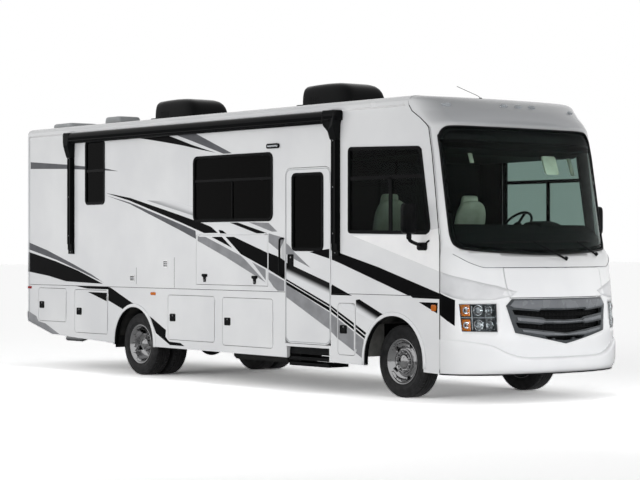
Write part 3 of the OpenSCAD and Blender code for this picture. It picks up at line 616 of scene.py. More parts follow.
def inside(u, v, outline):
    hit = False
    n = len(outline)
    for i in range(n):
        (u0, v0), (u1, v1) = outline[i], outline[i - 1]
        if (v0 > v) != (v1 > v) and u < (u1 - u0) * (v - v0) / (v1 - v0) + u0:
            hit = not hit
    return hit


def sheetPart(outline, holes, step, lift):
    # fills an outline with even triangles and lifts them on to a curved surface
    edgeLoops = [split(loop, step) for loop in [outline, *holes]]
    points, edges = [], []
    for loop in edgeLoops:
        base = len(points)
        points += loop
        edges += [(base + i, base + (i + 1) % len(loop)) for i in range(len(loop))]
    rim = list(points)
    us, vs = [p[0] for p in edgeLoops[0]], [p[1] for p in edgeLoops[0]]
    columns = int((max(us) - min(us)) / step)
    rows = int((max(vs) - min(vs)) / step)
    nearRim = {(round(u / step), round(v / step)) for u, v in rim}
    for i in range(1, columns):
        for j in range(1, rows):
            u = min(us) + (max(us) - min(us)) * i / columns
            v = min(vs) + (max(vs) - min(vs)) * j / rows
            if (round(u / step), round(v / step)) not in nearRim and inside(u, v, edgeLoops[0]):
                points.append((u, v))
    found = delaunay_2d_cdt([Vector(p) for p in points], edges, [], 0, 1e-6)
    flat, triangles = found[0], found[2]
    keep = []
    for tri in triangles:
        cu = sum(flat[i][0] for i in tri) / 3
        cv = sum(flat[i][1] for i in tri) / 3
        if inside(cu, cv, edgeLoops[0]) and not any(inside(cu, cv, loop) for loop in edgeLoops[1:]):
            keep.append(list(tri))
    lifted = [lift(u, v) for u, v in flat]
    used = sorted({i for tri in keep for i in tri})
    place = {old: new for new, old in enumerate(used)}
    triangles = [[place[i] for i in tri] for tri in keep]
    points = [lifted[i] for i in used]
    facing = 0
    for a, b, c in triangles[::7]:
        pa, pb, pc = (Vector(points[i]) for i in (a, b, c))
        facing += (pb - pa).cross(pc - pa).dot(Vector((1, 0, 0.01)))
    if facing < 0:
        triangles = [tri[::-1] for tri in triangles]
    return points, triangles


def skinPanel(name, outline, holes, step, material, off=0.0, thick=0.02, body="coach", bevel=0.0):
    piece = joined(name, [sheetPart(outline, holes, step, lambda y, z: onSkin(y, z, off))],
                   material, body, smooth=True)
    withModifier(piece, "SOLIDIFY", thickness=thick, offset=-1.0, use_even_offset=True)
    if bevel:
        withModifier(piece, "BEVEL", width=bevel, segments=2, limit_method="ANGLE",
                     angle_limit=math.radians(50), harden_normals=False)
    return piece


def both(points):
    # a half outline and its mirror image, with points on the middle line kept once
    loop = points + mirrored(points)
    return [p for i,
            p in enumerate(loop) if math.hypot(p[0] - loop[i - 1][0], p[1] - loop[i - 1][1]) > 1e-6]


def curved(outline, steps=5):
    return [(p.x, p.y) for p in smoothPath([(u, v, 0) for u, v in outline], steps, closed=True)]


windshield = {
    "half": [(0.0, 1.655), (0.60, 1.675), (1.05, 1.708), (1.165, 1.745), (1.205, 1.840),
             (1.211, 2.10), (1.207, 2.900), (1.192, 3.000), (1.135, 3.072), (1.020, 3.098), (0.60, 3.100)],
    "glassOff": 0.012, "glassThick": 0.008, "frit": 0.055, "sealRadius": 0.011,
    "tintFrom": 2.80, "shadeFrom": 2.94,
}
hood = {"half": [(0.725, 1.180), (0.755, 1.340), (0.755, 1.505)], "gap": 0.008, "thick": 0.02}
grille = {
    "half": [(0.0, 0.655), (0.705, 0.790), (0.785, 1.090), (0.712, 1.165)],
    "gaps": [
        [(0.0, 0.922), (0.285, 0.932), (0.325, 0.952), (0.69, 0.990), (0.715, 1.048), (0.37, 1.022),
         (0.35, 1.040), (0.0, 1.034)],
        [(0.0, 0.776), (0.285, 0.806), (0.655, 0.846), (0.685, 0.905), (0.35, 0.876), (0.30, 0.888),
         (0.0, 0.880)],
        [(0.0, 0.690), (0.27, 0.712), (0.32, 0.745), (0.0, 0.742)],
    ],
}
lamps = {"half": [(0.893, 0.800), (1.198, 0.806), (1.211, 1.112), (0.884, 1.116)], "rows": (1.040, 0.878)}


def inDomain(outline, off=0.0):
    # an outline of (y, z) in the cap's own (s, q) terms
    return [(acrossAt(y, z, off), z) for y, z in split(outline, 0.03)]


def domainScale(p):
    return p[0] * 1.6, p[1]


def buildCap():
    bottom = [(s / 30, bumperTop(skinPoint(s / 30, 0.6).y if s >= 0 else -skinPoint(s / 30, 0.6).y))
              for s in range(-30, 31)]
    outline = bottom + [(1, topTravel), (-1, topTravel)]
    glassHole = curved(both(windshield["half"]))
    grown = hood["gap"]
    hoodHole = both([(y + grown, z + (-grown if z < 1.2 else grown if z > 1.5 else 0))
                     for y, z in hood["half"]])
    lampHole = lamps["half"]
    holes = [glassHole, hoodHole, both(grille["half"]), lampHole, mirrored(lampHole)]
    outer = [domainScale(p) for p in split(outline, 0.05)]
    cuts = [[domainScale(p) for p in inDomain(loop)] for loop in holes]
    part = sheetPart(outer, cuts, 0.032, lambda u, v: skinPoint(u / 1.6, v))
    cap = joined("frontCapShell", [part], finish["capGelcoatBrowShade"], smooth=True)
    withModifier(cap, "SOLIDIFY", thickness=0.03, offset=-1.0)
    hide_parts("front_cap")
    return cap


def bumperPoint(s, r):
    # r is 0 at the lower lip and 1 at the crease; past 1 it folds in over the top
    n = front["roundness"]
    reach = math.sin(math.radians(90 * abs(s))) ** (2 / n)
    top = bumperTop(sideY * reach)
    low = front["bumperLow"]
    nose = smoothLine([(0, 1.545), (0.10, 1.600), (0.28, 1.636), (0.55, 1.650), (0.93, 1.648),
                       (1.0, 1.638), (1.06, 1.615), (1.25, 1.555)])(r)
    z = low + (top - low) * min(r, 1) + 0.012 * ease(r, 1.0, 1.06) + 0.006 * ease(r, 1.06, 1.25)
    proud = 0.008 * ease(r, 0.0, 0.3) * (1 - ease(r, 0.95, 1.1))
    x = frontX + 0.890 + (nose - 0.890) * max(math.cos(math.radians(90 * abs(s))), 0) ** (2 / n)
    return Vector((x, math.copysign((sideY + proud) * reach, s), z))


def buildBumper():
    columns, rows = 96, [0, 0.04, 0.10, 0.18, 0.28, 0.4, 0.55, 0.7, 0.85, 0.93, 0.97, 1.0, 1.03, 1.06, 1.15,
                         1.25]
    points = [bumperPoint(2 * i / columns - 1, r) for r in rows for i in range(columns + 1)]
    wide = columns + 1
    faces = [[j * wide + i, j * wide + i + 1, (j + 1) * wide + i + 1, (j + 1) * wide + i]
             for j in range(len(rows) - 1) for i in range(columns)]
    bumper = joined("frontBumperShell", [(points, faces)], finish["gelcoat"], smooth=True)
    withModifier(bumper, "SOLIDIFY", thickness=0.02, offset=-1.0)
    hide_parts("front_bumper")
    lip = [bumperPoint(2 * i / 60 - 1, 0.0) + Vector((0, 0, -0.004)) for i in range(61)]
    joined("bumperLipTrim", [tubePart(lip, 0.008, 8)], finish["blackAbs"], smooth=True)


def heightBand(outline, low, high):
    # the part of an outline between two heights, up one side and down the other
    kept = [p for p in outline if low < p[1] <= high]
    return (sorted([p for p in kept if p[0] >= 0], key=lambda p: p[1])
            + sorted([p for p in kept if p[0] < 0], key=lambda p: -p[1]))


def buildWindshield():
    outline = curved(both(windshield["half"]))
    off, thick = windshield["glassOff"], windshield["glassThick"]
    glass = skinPanel("windshieldGlass", outline, [], 0.05, finish["windshield"], off, thick)
    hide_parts("windshield")
    middleZ = 2.38
    shrink = windshield["frit"]
    inner = [(y * (1 - shrink / 1.21), middleZ + (z - middleZ) * (1 - shrink / 0.72)) for y, z in outline]
    skinPanel("windshieldFrit", outline, [inner], 0.05, finish["gloss"], off + thick + 0.001, 0.002)
    band = heightBand(inner, windshield["shadeFrom"], 9.0)
    skinPanel("windshieldShadeBand", band, [], 0.05, finish["gloss"], off + thick + 0.001, 0.002)
    tint = heightBand(inner, windshield["tintFrom"], windshield["shadeFrom"])
    skinPanel("windshieldTintBand", tint, [], 0.05, finish["tintBand"], off + thick + 0.001, 0.002)
    seal = [onSkin(y, z, 0.004) for y, z in split(outline, 0.03)]
    joined("windshieldSeal", [tubePart(seal, windshield["sealRadius"], 10, closed=True)],
           finish["seal"], smooth=True)


def buildHood():
    panel = skinPanel("hoodPanel", both(hood["half"]), [], 0.03, finish["gelcoat"], 0.0, hood["thick"],
                      "hood", 0.003)
    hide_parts("hood")
    low = 1.215
    ribs = []
    for y in (-0.45, -0.15, 0.15, 0.45):
        path = [onSkin(y, z, hood["thick"] + 0.012) for z in (1.22, 1.30, 1.38, 1.46)]
        ribs.append(tubePart(path, 0.014, 8))
    path = [onSkin(-0.62 + 1.24 * i / 16, low, hood["thick"] + 0.012) for i in range(17)]
    ribs.append(tubePart(path, 0.014, 8))
    joined("hoodStiffeners", ribs, finish["gelcoat"], "hood", smooth=True)
    hinge = []
    for y in (-0.15, 0.15):
        pin = onSkin(0, 1.505) + Vector((0.002, y, 0.004))
        hinge.append(tubePart([pin + Vector((0, -0.04, 0)), pin + Vector((0, 0.04, 0))], 0.0036, 12))
    joined("hoodHinges", hinge, finish["steel"], "hood", smooth=True)


def buildGrille():
    outline = both([(y * 0.992, z) for y, z in grille["half"]])
    gaps = [both(gap) for gap in grille["gaps"]]
    face = skinPanel("grilleBars", outline, gaps, 0.03, finish["greyAbs"], 0.004, 0.035, bevel=0.004)
    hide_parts("grille")
    browBand = both([(0.0, 1.052), (0.355, 1.058), (0.375, 1.040), (0.700, 1.070), (0.745, 1.092),
                     (0.690, 1.150), (0.0, 1.150)])
    skinPanel("grilleBrow", browBand, [], 0.03, finish["brow"], -0.012, 0.02, bevel=0.005)
    ridges = [both([(0.0, 0.893), (0.30, 0.903), (0.345, 0.893), (0.66, 0.925), (0.665, 0.962),
                    (0.33, 0.930), (0.29, 0.912), (0.0, 0.906)]),
              both([(0.0, 0.752), (0.32, 0.758), (0.60, 0.800), (0.62, 0.826), (0.30, 0.790),
                    (0.0, 0.764)])]
    for i, ridge in enumerate(ridges):
        skinPanel(f"grilleRidge{i + 1}", ridge, [], 0.03, finish["brow"], -0.006, 0.014, bevel=0.003)
    back = both([(0.0, 0.670), (0.69, 0.800), (0.765, 1.085), (0.70, 1.150)])
    skinPanel("grilleBacking", back, [], 0.06, finish["blackAbs"], 0.075, 0.004)
    slats = []
    for k in range(9):
        z = 0.74 + 0.045 * k
        wide = 0.35 if z < 0.79 else 0.66
        slats.append(tubePart([onSkin(wide * (2 * i / 12 - 1), z, 0.055) for i in range(13)], 0.007, 6))
    for k in range(23):
        y = -0.66 + 0.06 * k
        low = 0.70 if abs(y) < 0.36 else 0.83
        slats.append(tubePart([onSkin(y, low + (1.06 - low) * i / 4, 0.062) for i in range(5)], 0.004, 6))
    joined("grilleMesh", slats, finish["blackAbs"], smooth=True)


def lampFrame(hand, y, z, off):
    centre = onSkin(hand * y, z, off)
    ahead = (skinNormal(hand * y, z) + Vector((1.6, 0, 0))).normalized()
    side = ahead.cross(Vector((0, 0, 1))).normalized()
    up = side.cross(ahead)
    return lambda out, u, v: centre + out * ahead + u * side + v * up


def buildLamps():
    for hand, name in ((-1, "right"), (1, "left")):
        outline = lamps["half"] if hand > 0 else mirrored(lamps["half"])
        shrunk = [(hand * 1.053 + (y - hand * 1.053) * 0.96, 0.96 + (z - 0.96) * 0.95) for y, z in outline]
        skinPanel(name + "LampBezel", outline, [shrunk], 0.02, finish["chrome"], 0.004, 0.02)
        skinPanel(name + "LampBucket", outline, [], 0.03, finish["greyAbs"], 0.062, 0.003)
        rim = [onSkin(y, z, 0.004) for y, z in split(shrunk, 0.02)]
        deep = [onSkin(y, z, 0.064) for y, z in split(shrunk, 0.02)]
        n = len(rim)
        joined(name + "LampWalls", [(rim + deep, [[i, (i + 1) % n, n + (i + 1) % n, n + i]
                                                  for i in range(n)])], finish["greyAbs"])
        bowls, bulbs, amber, rings = [], [], [], []
        for z in lamps["rows"]:
            for y, radius in ((1.046, 0.055), (0.948, 0.040)):
                place = lampFrame(hand, y, z, 0.055)
                bowl = [(0.24 * radius, 0.0), (0.50 * radius, 0.005), (0.78 * radius, 0.016),
                        (0.96 * radius, 0.036), (1.02 * radius, 0.041), (1.07 * radius, 0.034)]
                bowls.append(lathePart(bowl, place, 36))
                bulbs.append(lathePart([(0.0005, 0.030), (0.008, 0.027), (0.011, 0.018), (0.010, 0.004),
                                        (0.0005, 0.002)], place, 20))
            cell = [(1.120, z - 0.064), (1.186, z - 0.062), (1.192, z + 0.064), (1.120, z + 0.064)]
            cell = cell if hand > 0 else mirrored(cell)
            amber.append(sheetPart(cell, [], 0.015, lambda y, zz: onSkin(y, zz, 0.022)))
            place = lampFrame(hand, 1.152, z, 0.020)
            rings.append(lathePart([(0.006, 0.004), (0.010, 0.010), (0.026, 0.006), (0.034, 0.014),
                                    (0.040, 0.006)], place, 36))
        joined(name + "LampBowls", bowls, finish["chrome"], smooth=True)
        joined(name + "LampBulbs", bulbs, finish["clearLens"], smooth=True)
        withModifier(joined(name + "LampAmber", amber, finish["amber"], smooth=True), "SOLIDIFY",
                     thickness=0.006, offset=-1.0)
        joined(name + "LampAmberRings", rings, finish["chrome"], smooth=True)
        bars = []
        for y0, y1 in ((1.106, 1.114), (0.988, 0.992)):
            bars.append(sheetPart(order(hand, [(y0, 0.83), (y1, 0.83), (y1, 1.09), (y0, 1.09)]), [], 0.02,
                                  lambda y, zz: onSkin(y, zz, 0.016)))
        bars.append(sheetPart(order(hand, [(0.905, 0.955), (1.20, 0.957), (1.20, 0.965), (0.905, 0.963)]),
                              [], 0.02, lambda y, zz: onSkin(y, zz, 0.016)))
        withModifier(joined(name + "LampDividers", bars, finish["chrome"]), "SOLIDIFY",
                     thickness=0.03, offset=-1.0)
        cover = skinPanel(name + "LampCover", shrunk, [], 0.02, finish["lampGlass"], 0.001, 0.003)
        if hand < 0:
            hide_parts("headlights")


def order(hand, outline):
    return outline if hand > 0 else mirrored(outline)


buildCap()
buildBumper()
buildWindshield()
buildHood()
buildGrille()
buildLamps()
print("front built")

# ---- the CAD panels that keep their own shape, with real finishes


def finishNode(node, material, inner=None, inward=(0, 0, 0), bevel=0.0):
    # inner is for the faces that look along inward, such as a wall's lining
    piece = nodes[node]
    piece.data.materials.clear()
    piece.data.materials.append(material)
    for face in piece.data.polygons:
        face.material_index = 0
    if inner:
        piece.data.materials.append(inner)
        for face in piece.data.polygons:
            if face.normal.dot(Vector(inward)) > 0.6:
                face.material_index = 1
    if bevel:
        withModifier(piece, "WELD", merge_threshold=0.00002)
        withModifier(piece, "BEVEL", width=bevel, segments=2, limit_method="ANGLE",
                     angle_limit=math.radians(50))
    return piece


lockers = [f"right_locker_door_{i}" for i in range(1, 6)] + [f"left_locker_door_{i}" for i in range(1, 5)]
# the inner faces of the walls and roof take the charcoal lining: painted shade for the unlit interior
finishNode("right_wall", finish["gelcoat"], finish["shadeFelt"], (0, 1, 0))
finishNode("left_wall", finish["gelcoat"], finish["shadeFelt"], (0, -1, 0))
finishNode("rear_wall", finish["gelcoat"], finish["shadeFelt"], (1, 0, 0))
finishNode("roof", finish["gelcoat"], finish["shadeFelt"], (0, 0, -1))
finishNode("right_skirt", finish["gelcoat"], finish["chassis"], (0, 1, 0))
finishNode("left_skirt", finish["gelcoat"], finish["chassis"], (0, -1, 0))
for name in [*lockers, "galley_door", "entry_door"]:
    finishNode(name, finish["gelcoat"], bevel=0.003)
for name in ("chassis_frame", "hitch_receiver", "front_axle", "rear_axle", "underbody_tanks"):
    finishNode(name, finish["chassis"], bevel=0.002 if name != "rear_axle" else 0)
for name in ("right_knuckle", "left_knuckle", "exhaust"):
    finishNode(name, finish["steel"])
finishNode("engine", finish["iron"], bevel=0.012)
finishNode("floor", finish["chassis"], finish["planks"], (0, 0, 1))
finishNode("storage_bays", finish["liner"])
finishNode("entry_steps", finish["blackAbs"], bevel=0.003)
finishNode("rear_bumper", finish["blackAbs"], bevel=0.02)
finishNode("awning", finish["gloss"], bevel=0.004)
finishNode("dashboard", finish["dash"], bevel=0.01)
finishNode("steering_wheel", finish["dash"])
print("CAD panels finished")

# ---- stripes and bands: thin vinyl on each panel, x from the front axle and height

stripes = {
    "thick": 0.0008,
    "wallBlack": [
        [(-8.133, 1.668), (-7.349, 1.532), (-6.758, 1.406), (-6.1, 1.228), (-7.074, 1.249),
         (-7.558, 1.321), (-8.142, 1.379)],
        [(-5.37, 3.24), (-4.66, 3.26), (-4.33, 3.18), (-3.92, 3.07), (-3.62, 3.0), (-3.39, 2.95),
         (-3.72, 3.0), (-4.12, 3.07), (-4.54, 3.13)],
        [(-6.02, 2.49), (-5.41, 2.41), (-4.21, 2.16), (-3.89, 2.09), (-3.74, 2.06), (-3.5, 2.0),
         (-3.35, 1.92), (-3.65, 1.92), (-4.21, 2.07), (-5.41, 2.37)],
        [(-3.33, 1.96), (-3.24, 1.95), (-3.16, 1.91), (-3.3, 1.915)],
        [(-2.27, 1.67), (-2.03, 1.61), (-1.94, 1.57), (-1.94, 1.34), (-2.27, 1.46)],
        [(-3.09, 2.05), (-2.92, 2.05), (-2.29, 1.91), (-2.51, 1.91)],
        [(-1.02, 1.68), (-0.87, 1.67), (-0.17, 1.51), (0.31, 1.38), (0.885, 1.225), (0.885, 1.19),
         (0.36, 1.19), (-0.87, 1.55), (-1.02, 1.59)],
        [(-1.03, 1.30), (-0.71, 1.192), (-1.03, 1.192)],
    ],
    "skirtBlack": [
        [(-5.961, 1.186), (-5.903, 1.18), (-5.223, 0.932), (-5.547, 0.876), (-5.955, 1.000)],
        [(-4.915, 0.809), (-4.536, 0.638), (-4.545, 0.549), (-4.493, 0.507), (-4.453, 0.487),
         (-4.191, 0.478), (-4.102, 0.44), (-4.437, 0.441), (-4.771, 0.588)],
        [(0.40, 1.187), (0.885, 1.187), (0.885, 1.16), (0.44, 1.165)],
        [(0.54, 1.12), (0.86, 1.12), (0.85, 1.0)],
        [(-1.03, 1.187), (-0.70, 1.187), (-0.64, 1.17), (-1.03, 1.17)],
        [(-6.83, 1.188), (-5.961, 1.188), (-5.961, 1.152), (-6.50, 1.155)],
        [(-0.57, 1.12), (-0.51, 1.13), (-0.07, 0.96), (-0.13, 0.93), (-0.57, 1.10)],
        [(-1.035, 1.045), (-0.918, 0.99), (-0.918, 0.962), (-1.035, 1.020)],
        [(-1.035, 1.008), (-0.918, 0.949), (-0.918, 0.915), (-1.035, 0.972)],
        [(-0.572, 0.832), (-0.385, 0.742), (-0.400, 0.716), (-0.572, 0.800)],
        [(-0.572, 0.786), (-0.405, 0.700), (-0.414, 0.672), (-0.572, 0.750)],
    ],
    "wallGrey": [
        [(-2.27, 1.43), (-1.95, 1.325), (-1.95, 1.20), (-2.08, 1.20), (-2.17, 1.25), (-2.27, 1.34)],
        [(-2.68, 2.05), (-2.27, 2.04), (-2.09, 1.93), (-2.20, 1.93)],
        [(-2.27, 1.91), (-1.94, 1.85), (-2.05, 1.69), (-2.27, 1.8)],
    ],
    "slate": [
        [(-8.081, 2.987), (-7.075, 2.918), (-6.553, 2.875), (-6.553, 2.830), (-7.075, 2.856),
         (-8.081, 2.887)],
        [(-6.054, 2.833), (-5.696, 2.781), (-6.054, 2.804)],
        [(-8.128, 1.808), (-7.605, 1.693), (-6.893, 1.499), (-6.382, 1.352), (-6.057, 1.234),
         (-6.143, 1.262), (-6.758, 1.418), (-7.349, 1.556), (-8.128, 1.705)],
        [(-4.46, 3.26), (-3.97, 3.26), (-3.52, 3.1), (-3.04, 2.93), (-3.22, 2.93), (-3.52, 3.01),
         (-3.92, 3.12)],
        [(-6.02, 2.455), (-5.41, 2.345), (-4.21, 2.045), (-3.85, 1.950), (-3.84, 1.845), (-4.21, 1.962),
         (-5.41, 2.325)],
    ],
    "skirtGrey": [
        [(-8.155, 0.80), (-7.912, 0.728), (-7.852, 0.657), (-7.663, 0.632), (-7.256, 0.484),
         (-7.464, 0.483), (-8.155, 0.655)],
        [(-1.035, 0.945), (-0.918, 0.895), (-0.918, 0.66), (-1.035, 0.735)],
        [(-0.572, 0.73), (-0.43, 0.665), (-0.45, 0.44), (-0.572, 0.50)],
    ],
    "galleyBlack": [
        [(-3.49, 1.87), (-3.26, 1.87), (-3.04, 1.73)],
        [(-3.18, 1.87), (-3.0, 1.87), (-2.33, 1.68), (-2.295, 1.665), (-2.295, 1.47), (-2.85, 1.65)],
    ],
    "galleyGrey": [
        [(-3.8, 1.88), (-3.65, 1.88), (-2.85, 1.63), (-2.76, 1.58), (-2.33, 1.3), (-2.65, 1.42),
         (-3.2, 1.62), (-3.8, 1.82)],
        [(-2.61, 1.55), (-2.33, 1.46), (-2.33, 1.33)],
    ],
    "locker2Black": [[(-6.49, 1.108), (-5.992, 1.104), (-5.992, 0.985)]],
    "locker5Black": [
        [(-0.902, 0.982), (-0.588, 0.840), (-0.588, 0.808), (-0.902, 0.954)],
        [(-0.902, 0.941), (-0.588, 0.794), (-0.588, 0.758), (-0.902, 0.907)],
    ],
    "locker5Grey": [[(-0.902, 0.888), (-0.588, 0.737), (-0.588, 0.51), (-0.902, 0.655)]],
    "doorBlack": [
        [(-1.45, 1.68), (-1.06, 1.72), (-1.06, 1.60)],
        [(-1.915, 1.352), (-1.055, 1.054), (-1.055, 1.028), (-1.915, 1.330)],
        [(-1.915, 1.319), (-1.055, 1.016), (-1.055, 0.975), (-1.915, 1.283)],
    ],
    "doorGrey": [
        [(-1.915, 1.79), (-1.86, 1.76), (-1.72, 1.66), (-1.43, 1.49), (-1.71, 1.58), (-1.915, 1.655)],
        [(-1.915, 1.285), (-1.14, 0.99), (-1.055, 0.96), (-1.055, 0.755), (-1.14, 0.79), (-1.915, 1.13)],
    ],
    "doorFade": [[(-1.915, 1.55), (-1.055, 1.31), (-1.055, 1.060), (-1.915, 1.358)]],
    "skirtFade": [[(-0.572, 1.10), (-0.13, 0.93), (-0.09, 0.905), (-0.22, 0.865), (-0.572, 0.985)]],
    "locker5Fade": [[(-0.86, 1.075), (-0.588, 1.075), (-0.588, 0.985), (-0.80, 1.02)]],
    "wallFade": [[(-5.0, 2.368), (-3.905, 2.150), (-3.905, 2.255), (-4.35, 2.345)]],
    "whitePanel": [[(-0.64, 1.875), (0.66, 1.875), (0.74, 1.93), (0.885, 1.95), (0.885, 1.468)]],
}


def vinyl(name, outlines, material, body, hand=-1, level=1):
    deep = stripes["thick"]
    parts = []
    for outline in outlines:
        moved = [(frontX + x, z) for x, z in outline]
        parts.append(prism(moved, 0.0002, deep * level, onSide(hand)))
    return joined(name, parts, material, body)


finish["doorFadeVinyl"] = fadingVinyl("doorFadeVinyl", "#e2e3e5", "#070708", 0.28, 0.872, 0.958)
finish["skirtFadeVinyl"] = fadingVinyl("skirtFadeVinyl", "#e2e3e5", "#1b1b1c", 0.386, 0.795, 0.878)
finish["smokeFadeVinyl"] = fadingVinyl("smokeFadeVinyl", "#a5a6a8", "#e2e3e5", 0.2, 1.368, 1.445)
for name, group, material, body in (
        ("wallBlackStripes", "wallBlack", "blackVinyl", "coach"),
        ("skirtBlackStripes", "skirtBlack", "blackVinyl", "coach"),
        ("wallGreyStripes", "wallGrey", "greyVinyl", "coach"),
        ("skirtGreyStripes", "skirtGrey", "greyVinyl", "coach"),
        ("wallSlateStripes", "slate", "slateVinyl", "coach"),
        ("wallWhitePanel", "whitePanel", "whiteVinyl", "coach"),
        ("skirtFadeStripe", "skirtFade", "skirtFadeVinyl", "coach"),
        ("locker5FadeStripe", "locker5Fade", "skirtFadeVinyl", "right_locker_door_5"),
        ("galleyBlackStripes", "galleyBlack", "blackVinyl", "galley_door"),
        ("galleyGreyStripes", "galleyGrey", "greyVinyl", "galley_door"),
        ("locker2BlackStripe", "locker2Black", "blackVinyl", "right_locker_door_2"),
        ("locker5BlackStripes", "locker5Black", "blackVinyl", "right_locker_door_5"),
        ("locker5GreyStripe", "locker5Grey", "greyVinyl", "right_locker_door_5"),
        ("doorBlackStripes", "doorBlack", "blackVinyl", "entry_door"),
        ("doorGreyStripes", "doorGrey", "greyVinyl", "entry_door"),
        ("doorFadeStripe", "doorFade", "doorFadeVinyl", "entry_door"),
        ("wallSmokeFade", "wallFade", "smokeFadeVinyl", "coach")):
    level = 2 if "Black" in name else 1
    vinyl(name, stripes[group], finish[material], body, -1, level)
leftBlack = stripes["wallBlack"] + stripes["skirtBlack"] + stripes["galleyBlack"] + stripes["doorBlack"]
leftGrey = stripes["wallGrey"] + stripes["skirtGrey"] + stripes["galleyGrey"] + stripes["doorGrey"]
vinyl("leftBlackStripes", [o for o in leftBlack if len(o) != 4 or o[0][0] > -8], finish["blackVinyl"],
      "coach", 1, 2)
vinyl("leftGreyStripes", leftGrey + stripes["locker5Grey"], finish["greyVinyl"], "coach", 1)
vinyl("leftSlateStripes", stripes["slate"], finish["slateVinyl"], "coach", 1)
vinyl("leftWhitePanel", stripes["whitePanel"], finish["whiteVinyl"], "coach", 1)
vinyl("leftDoorFade", stripes["doorFade"], finish["doorFadeVinyl"], "coach", 1)
vinyl("leftSkirtFade", stripes["skirtFade"] + stripes["locker5Fade"], finish["skirtFadeVinyl"], "coach", 1)
vinyl("leftSmokeFade", stripes["wallFade"], finish["smokeFadeVinyl"], "coach", 1)
vinyl("leftLocker2Stripe", stripes["locker2Black"], finish["blackVinyl"], "left_locker_door_2", 1, 2)


def capBand(name, outline, material, hand, off=-0.0012):
    # outline is (x from the front axle, z) read on the side of the cap, wrapped on to its curve
    def lift(x, z):
        low, high = 0.0, 1.0
        for _ in range(30):
            s = (low + high) / 2
            if skinPoint(s, z).x - frontX > x:
                low = s
            else:
                high = s
        return skinPoint(hand * high, z, off)
    piece = joined(name, [sheetPart(outline, [], 0.03, lift)], material, smooth=True)
    return withModifier(piece, "SOLIDIFY", thickness=0.001, offset=-1.0)


for hand, side in ((-1, "right"), (1, "left")):
    capBand(side + "CapStripe",
            [(0.895, 1.228), (1.05, 1.17), (1.095, 1.153), (1.095, 0.868), (0.895, 0.985)],
            finish["blackVinyl"], hand)
    capBand(side + "CapPaleBand",
            [(0.895, 1.468), (1.20, 1.387), (1.38, 1.310), (1.465, 1.245), (1.45, 1.19),
                                   (1.38, 1.155), (1.19, 1.15), (1.05, 1.185), (0.895, 1.242)],
                                   finish["paleVinyl"], hand)
print("stripes laid")

# ---- windows

wheelbase = 5.283
windows = {
    "big": [-3.899, 2.059, -2.179, 2.917, 0.09],
    "tall": [-wheelbase - 1.277, 2.330, -wheelbase - 0.764, 3.240, 0.07],
    "cab": [(-0.713, 1.935), (-0.713, 2.850), (-0.708, 2.884), (-0.690, 2.905), (-0.660, 2.915),
            (0.520, 2.882), (0.560, 2.868), (0.588, 2.830), (0.735, 2.000), (0.735, 1.945), (0.715, 1.905),
            (0.670, 1.884), (0.630, 1.880), (-0.660, 1.898), (-0.690, 1.905), (-0.707, 1.918)],
    "frame": 0.032, "proud": 0.010,
}


def inset(outline, by):
    # moves each corner in by the same distance from both of its edges
    out = []
    n = len(outline)
    area = sum(outline[i - 1][0] * outline[i][1] - outline[i][0] * outline[i - 1][1] for i in range(n))
    turn = 1 if area > 0 else -1
    for i in range(n):
        p, a, b = Vector(outline[i]), Vector(outline[i - 1]), Vector(outline[(i + 1) % n])
        e, f = (p - a).normalized(), (b - p).normalized()
        left, right = Vector((-e.y, e.x)) * turn, Vector((-f.y, f.x)) * turn
        across = (left + right)
        across = across / max(across.length_squared, 1e-6) * 2
        out.append(tuple(p + across * by))
    return out


def ringPart(outer, inner, depth0, depth1, lift):
    n = len(outer)
    points = [lift(u, v, d) for loop,
              d in ((outer, depth0), (outer, depth1), (inner, depth1), (inner, depth0))
              for u, v in loop]
    faces = []
    for k in range(4):
        m = (k + 1) % 4
        faces += [[k * n + i, k * n + (i + 1) % n, m * n + (i + 1) % n, m * n + i] for i in range(n)]
    return outward(points, faces)


def bevelled(piece, width=0.002, segments=2, degrees=40):
    return withModifier(piece, "BEVEL", width=width, segments=segments, limit_method="ANGLE",
                        angle_limit=math.radians(degrees))


def sideWindow(name, outline, hand, glass, bars=(), replaces=None, body="coach"):
    frameWide, proud = windows["frame"], windows["proud"]
    lift = onSide(hand)
    inner = inset(outline, frameWide)
    parts = [ringPart(outline, inner, -0.045, proud, lift),
             ringPart(inner, inset(inner, 0.009), -0.02, 0.004, lift)]
    for x0, z0, x1, z1 in bars:
        parts.append(prism([(x0, z0), (x1, z0), (x1, z1), (x0, z1)], -0.012, 0.003, lift))
    piece = bevelled(joined(name + "Frame", parts, finish["gloss"], body), 0.003)
    pane = joined(name + "Pane", [prism(inset(inner, -0.002), -0.014, -0.008, lift)], glass, body)
    if replaces:
        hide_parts(replaces)
    return piece


for hand, side in ((-1, "right"), (1, "left")):
    x0, z0, x1, z1, r = windows["big"]
    big = roundRect(frontX + x0, z0, frontX + x1, z1, r)
    midX = frontX + (x0 + x1) / 2
    sideWindow(side + "BigWindow", big, hand, finish["darkGlass"],
               [(midX - 0.008, z0 + 0.03, midX + 0.008, z0 + 0.53),
                (frontX + x0 + 0.03, z0 + 0.515, frontX + x1 - 0.03, z0 + 0.55)], side + "_windows")
    x0, z0, x1, z1, r = windows["tall"]
    tall = roundRect(frontX + x0, z0, frontX + x1, z1, r)
    sideWindow(side + "TallWindow", tall, hand, finish["darkGlass"],
               [(frontX + x0 + 0.03, z0 + 0.455, frontX + x1 - 0.03, z0 + 0.495)])
    cab = [(frontX + x, z) for x, z in windows["cab"]]
    sideWindow(side + "CabWindow", cab, hand, finish["cabGlass"],
               [(frontX - 0.70, 2.52, frontX + 0.62, 2.565), (frontX + 0.02, 1.90, frontX + 0.075, 2.54)])

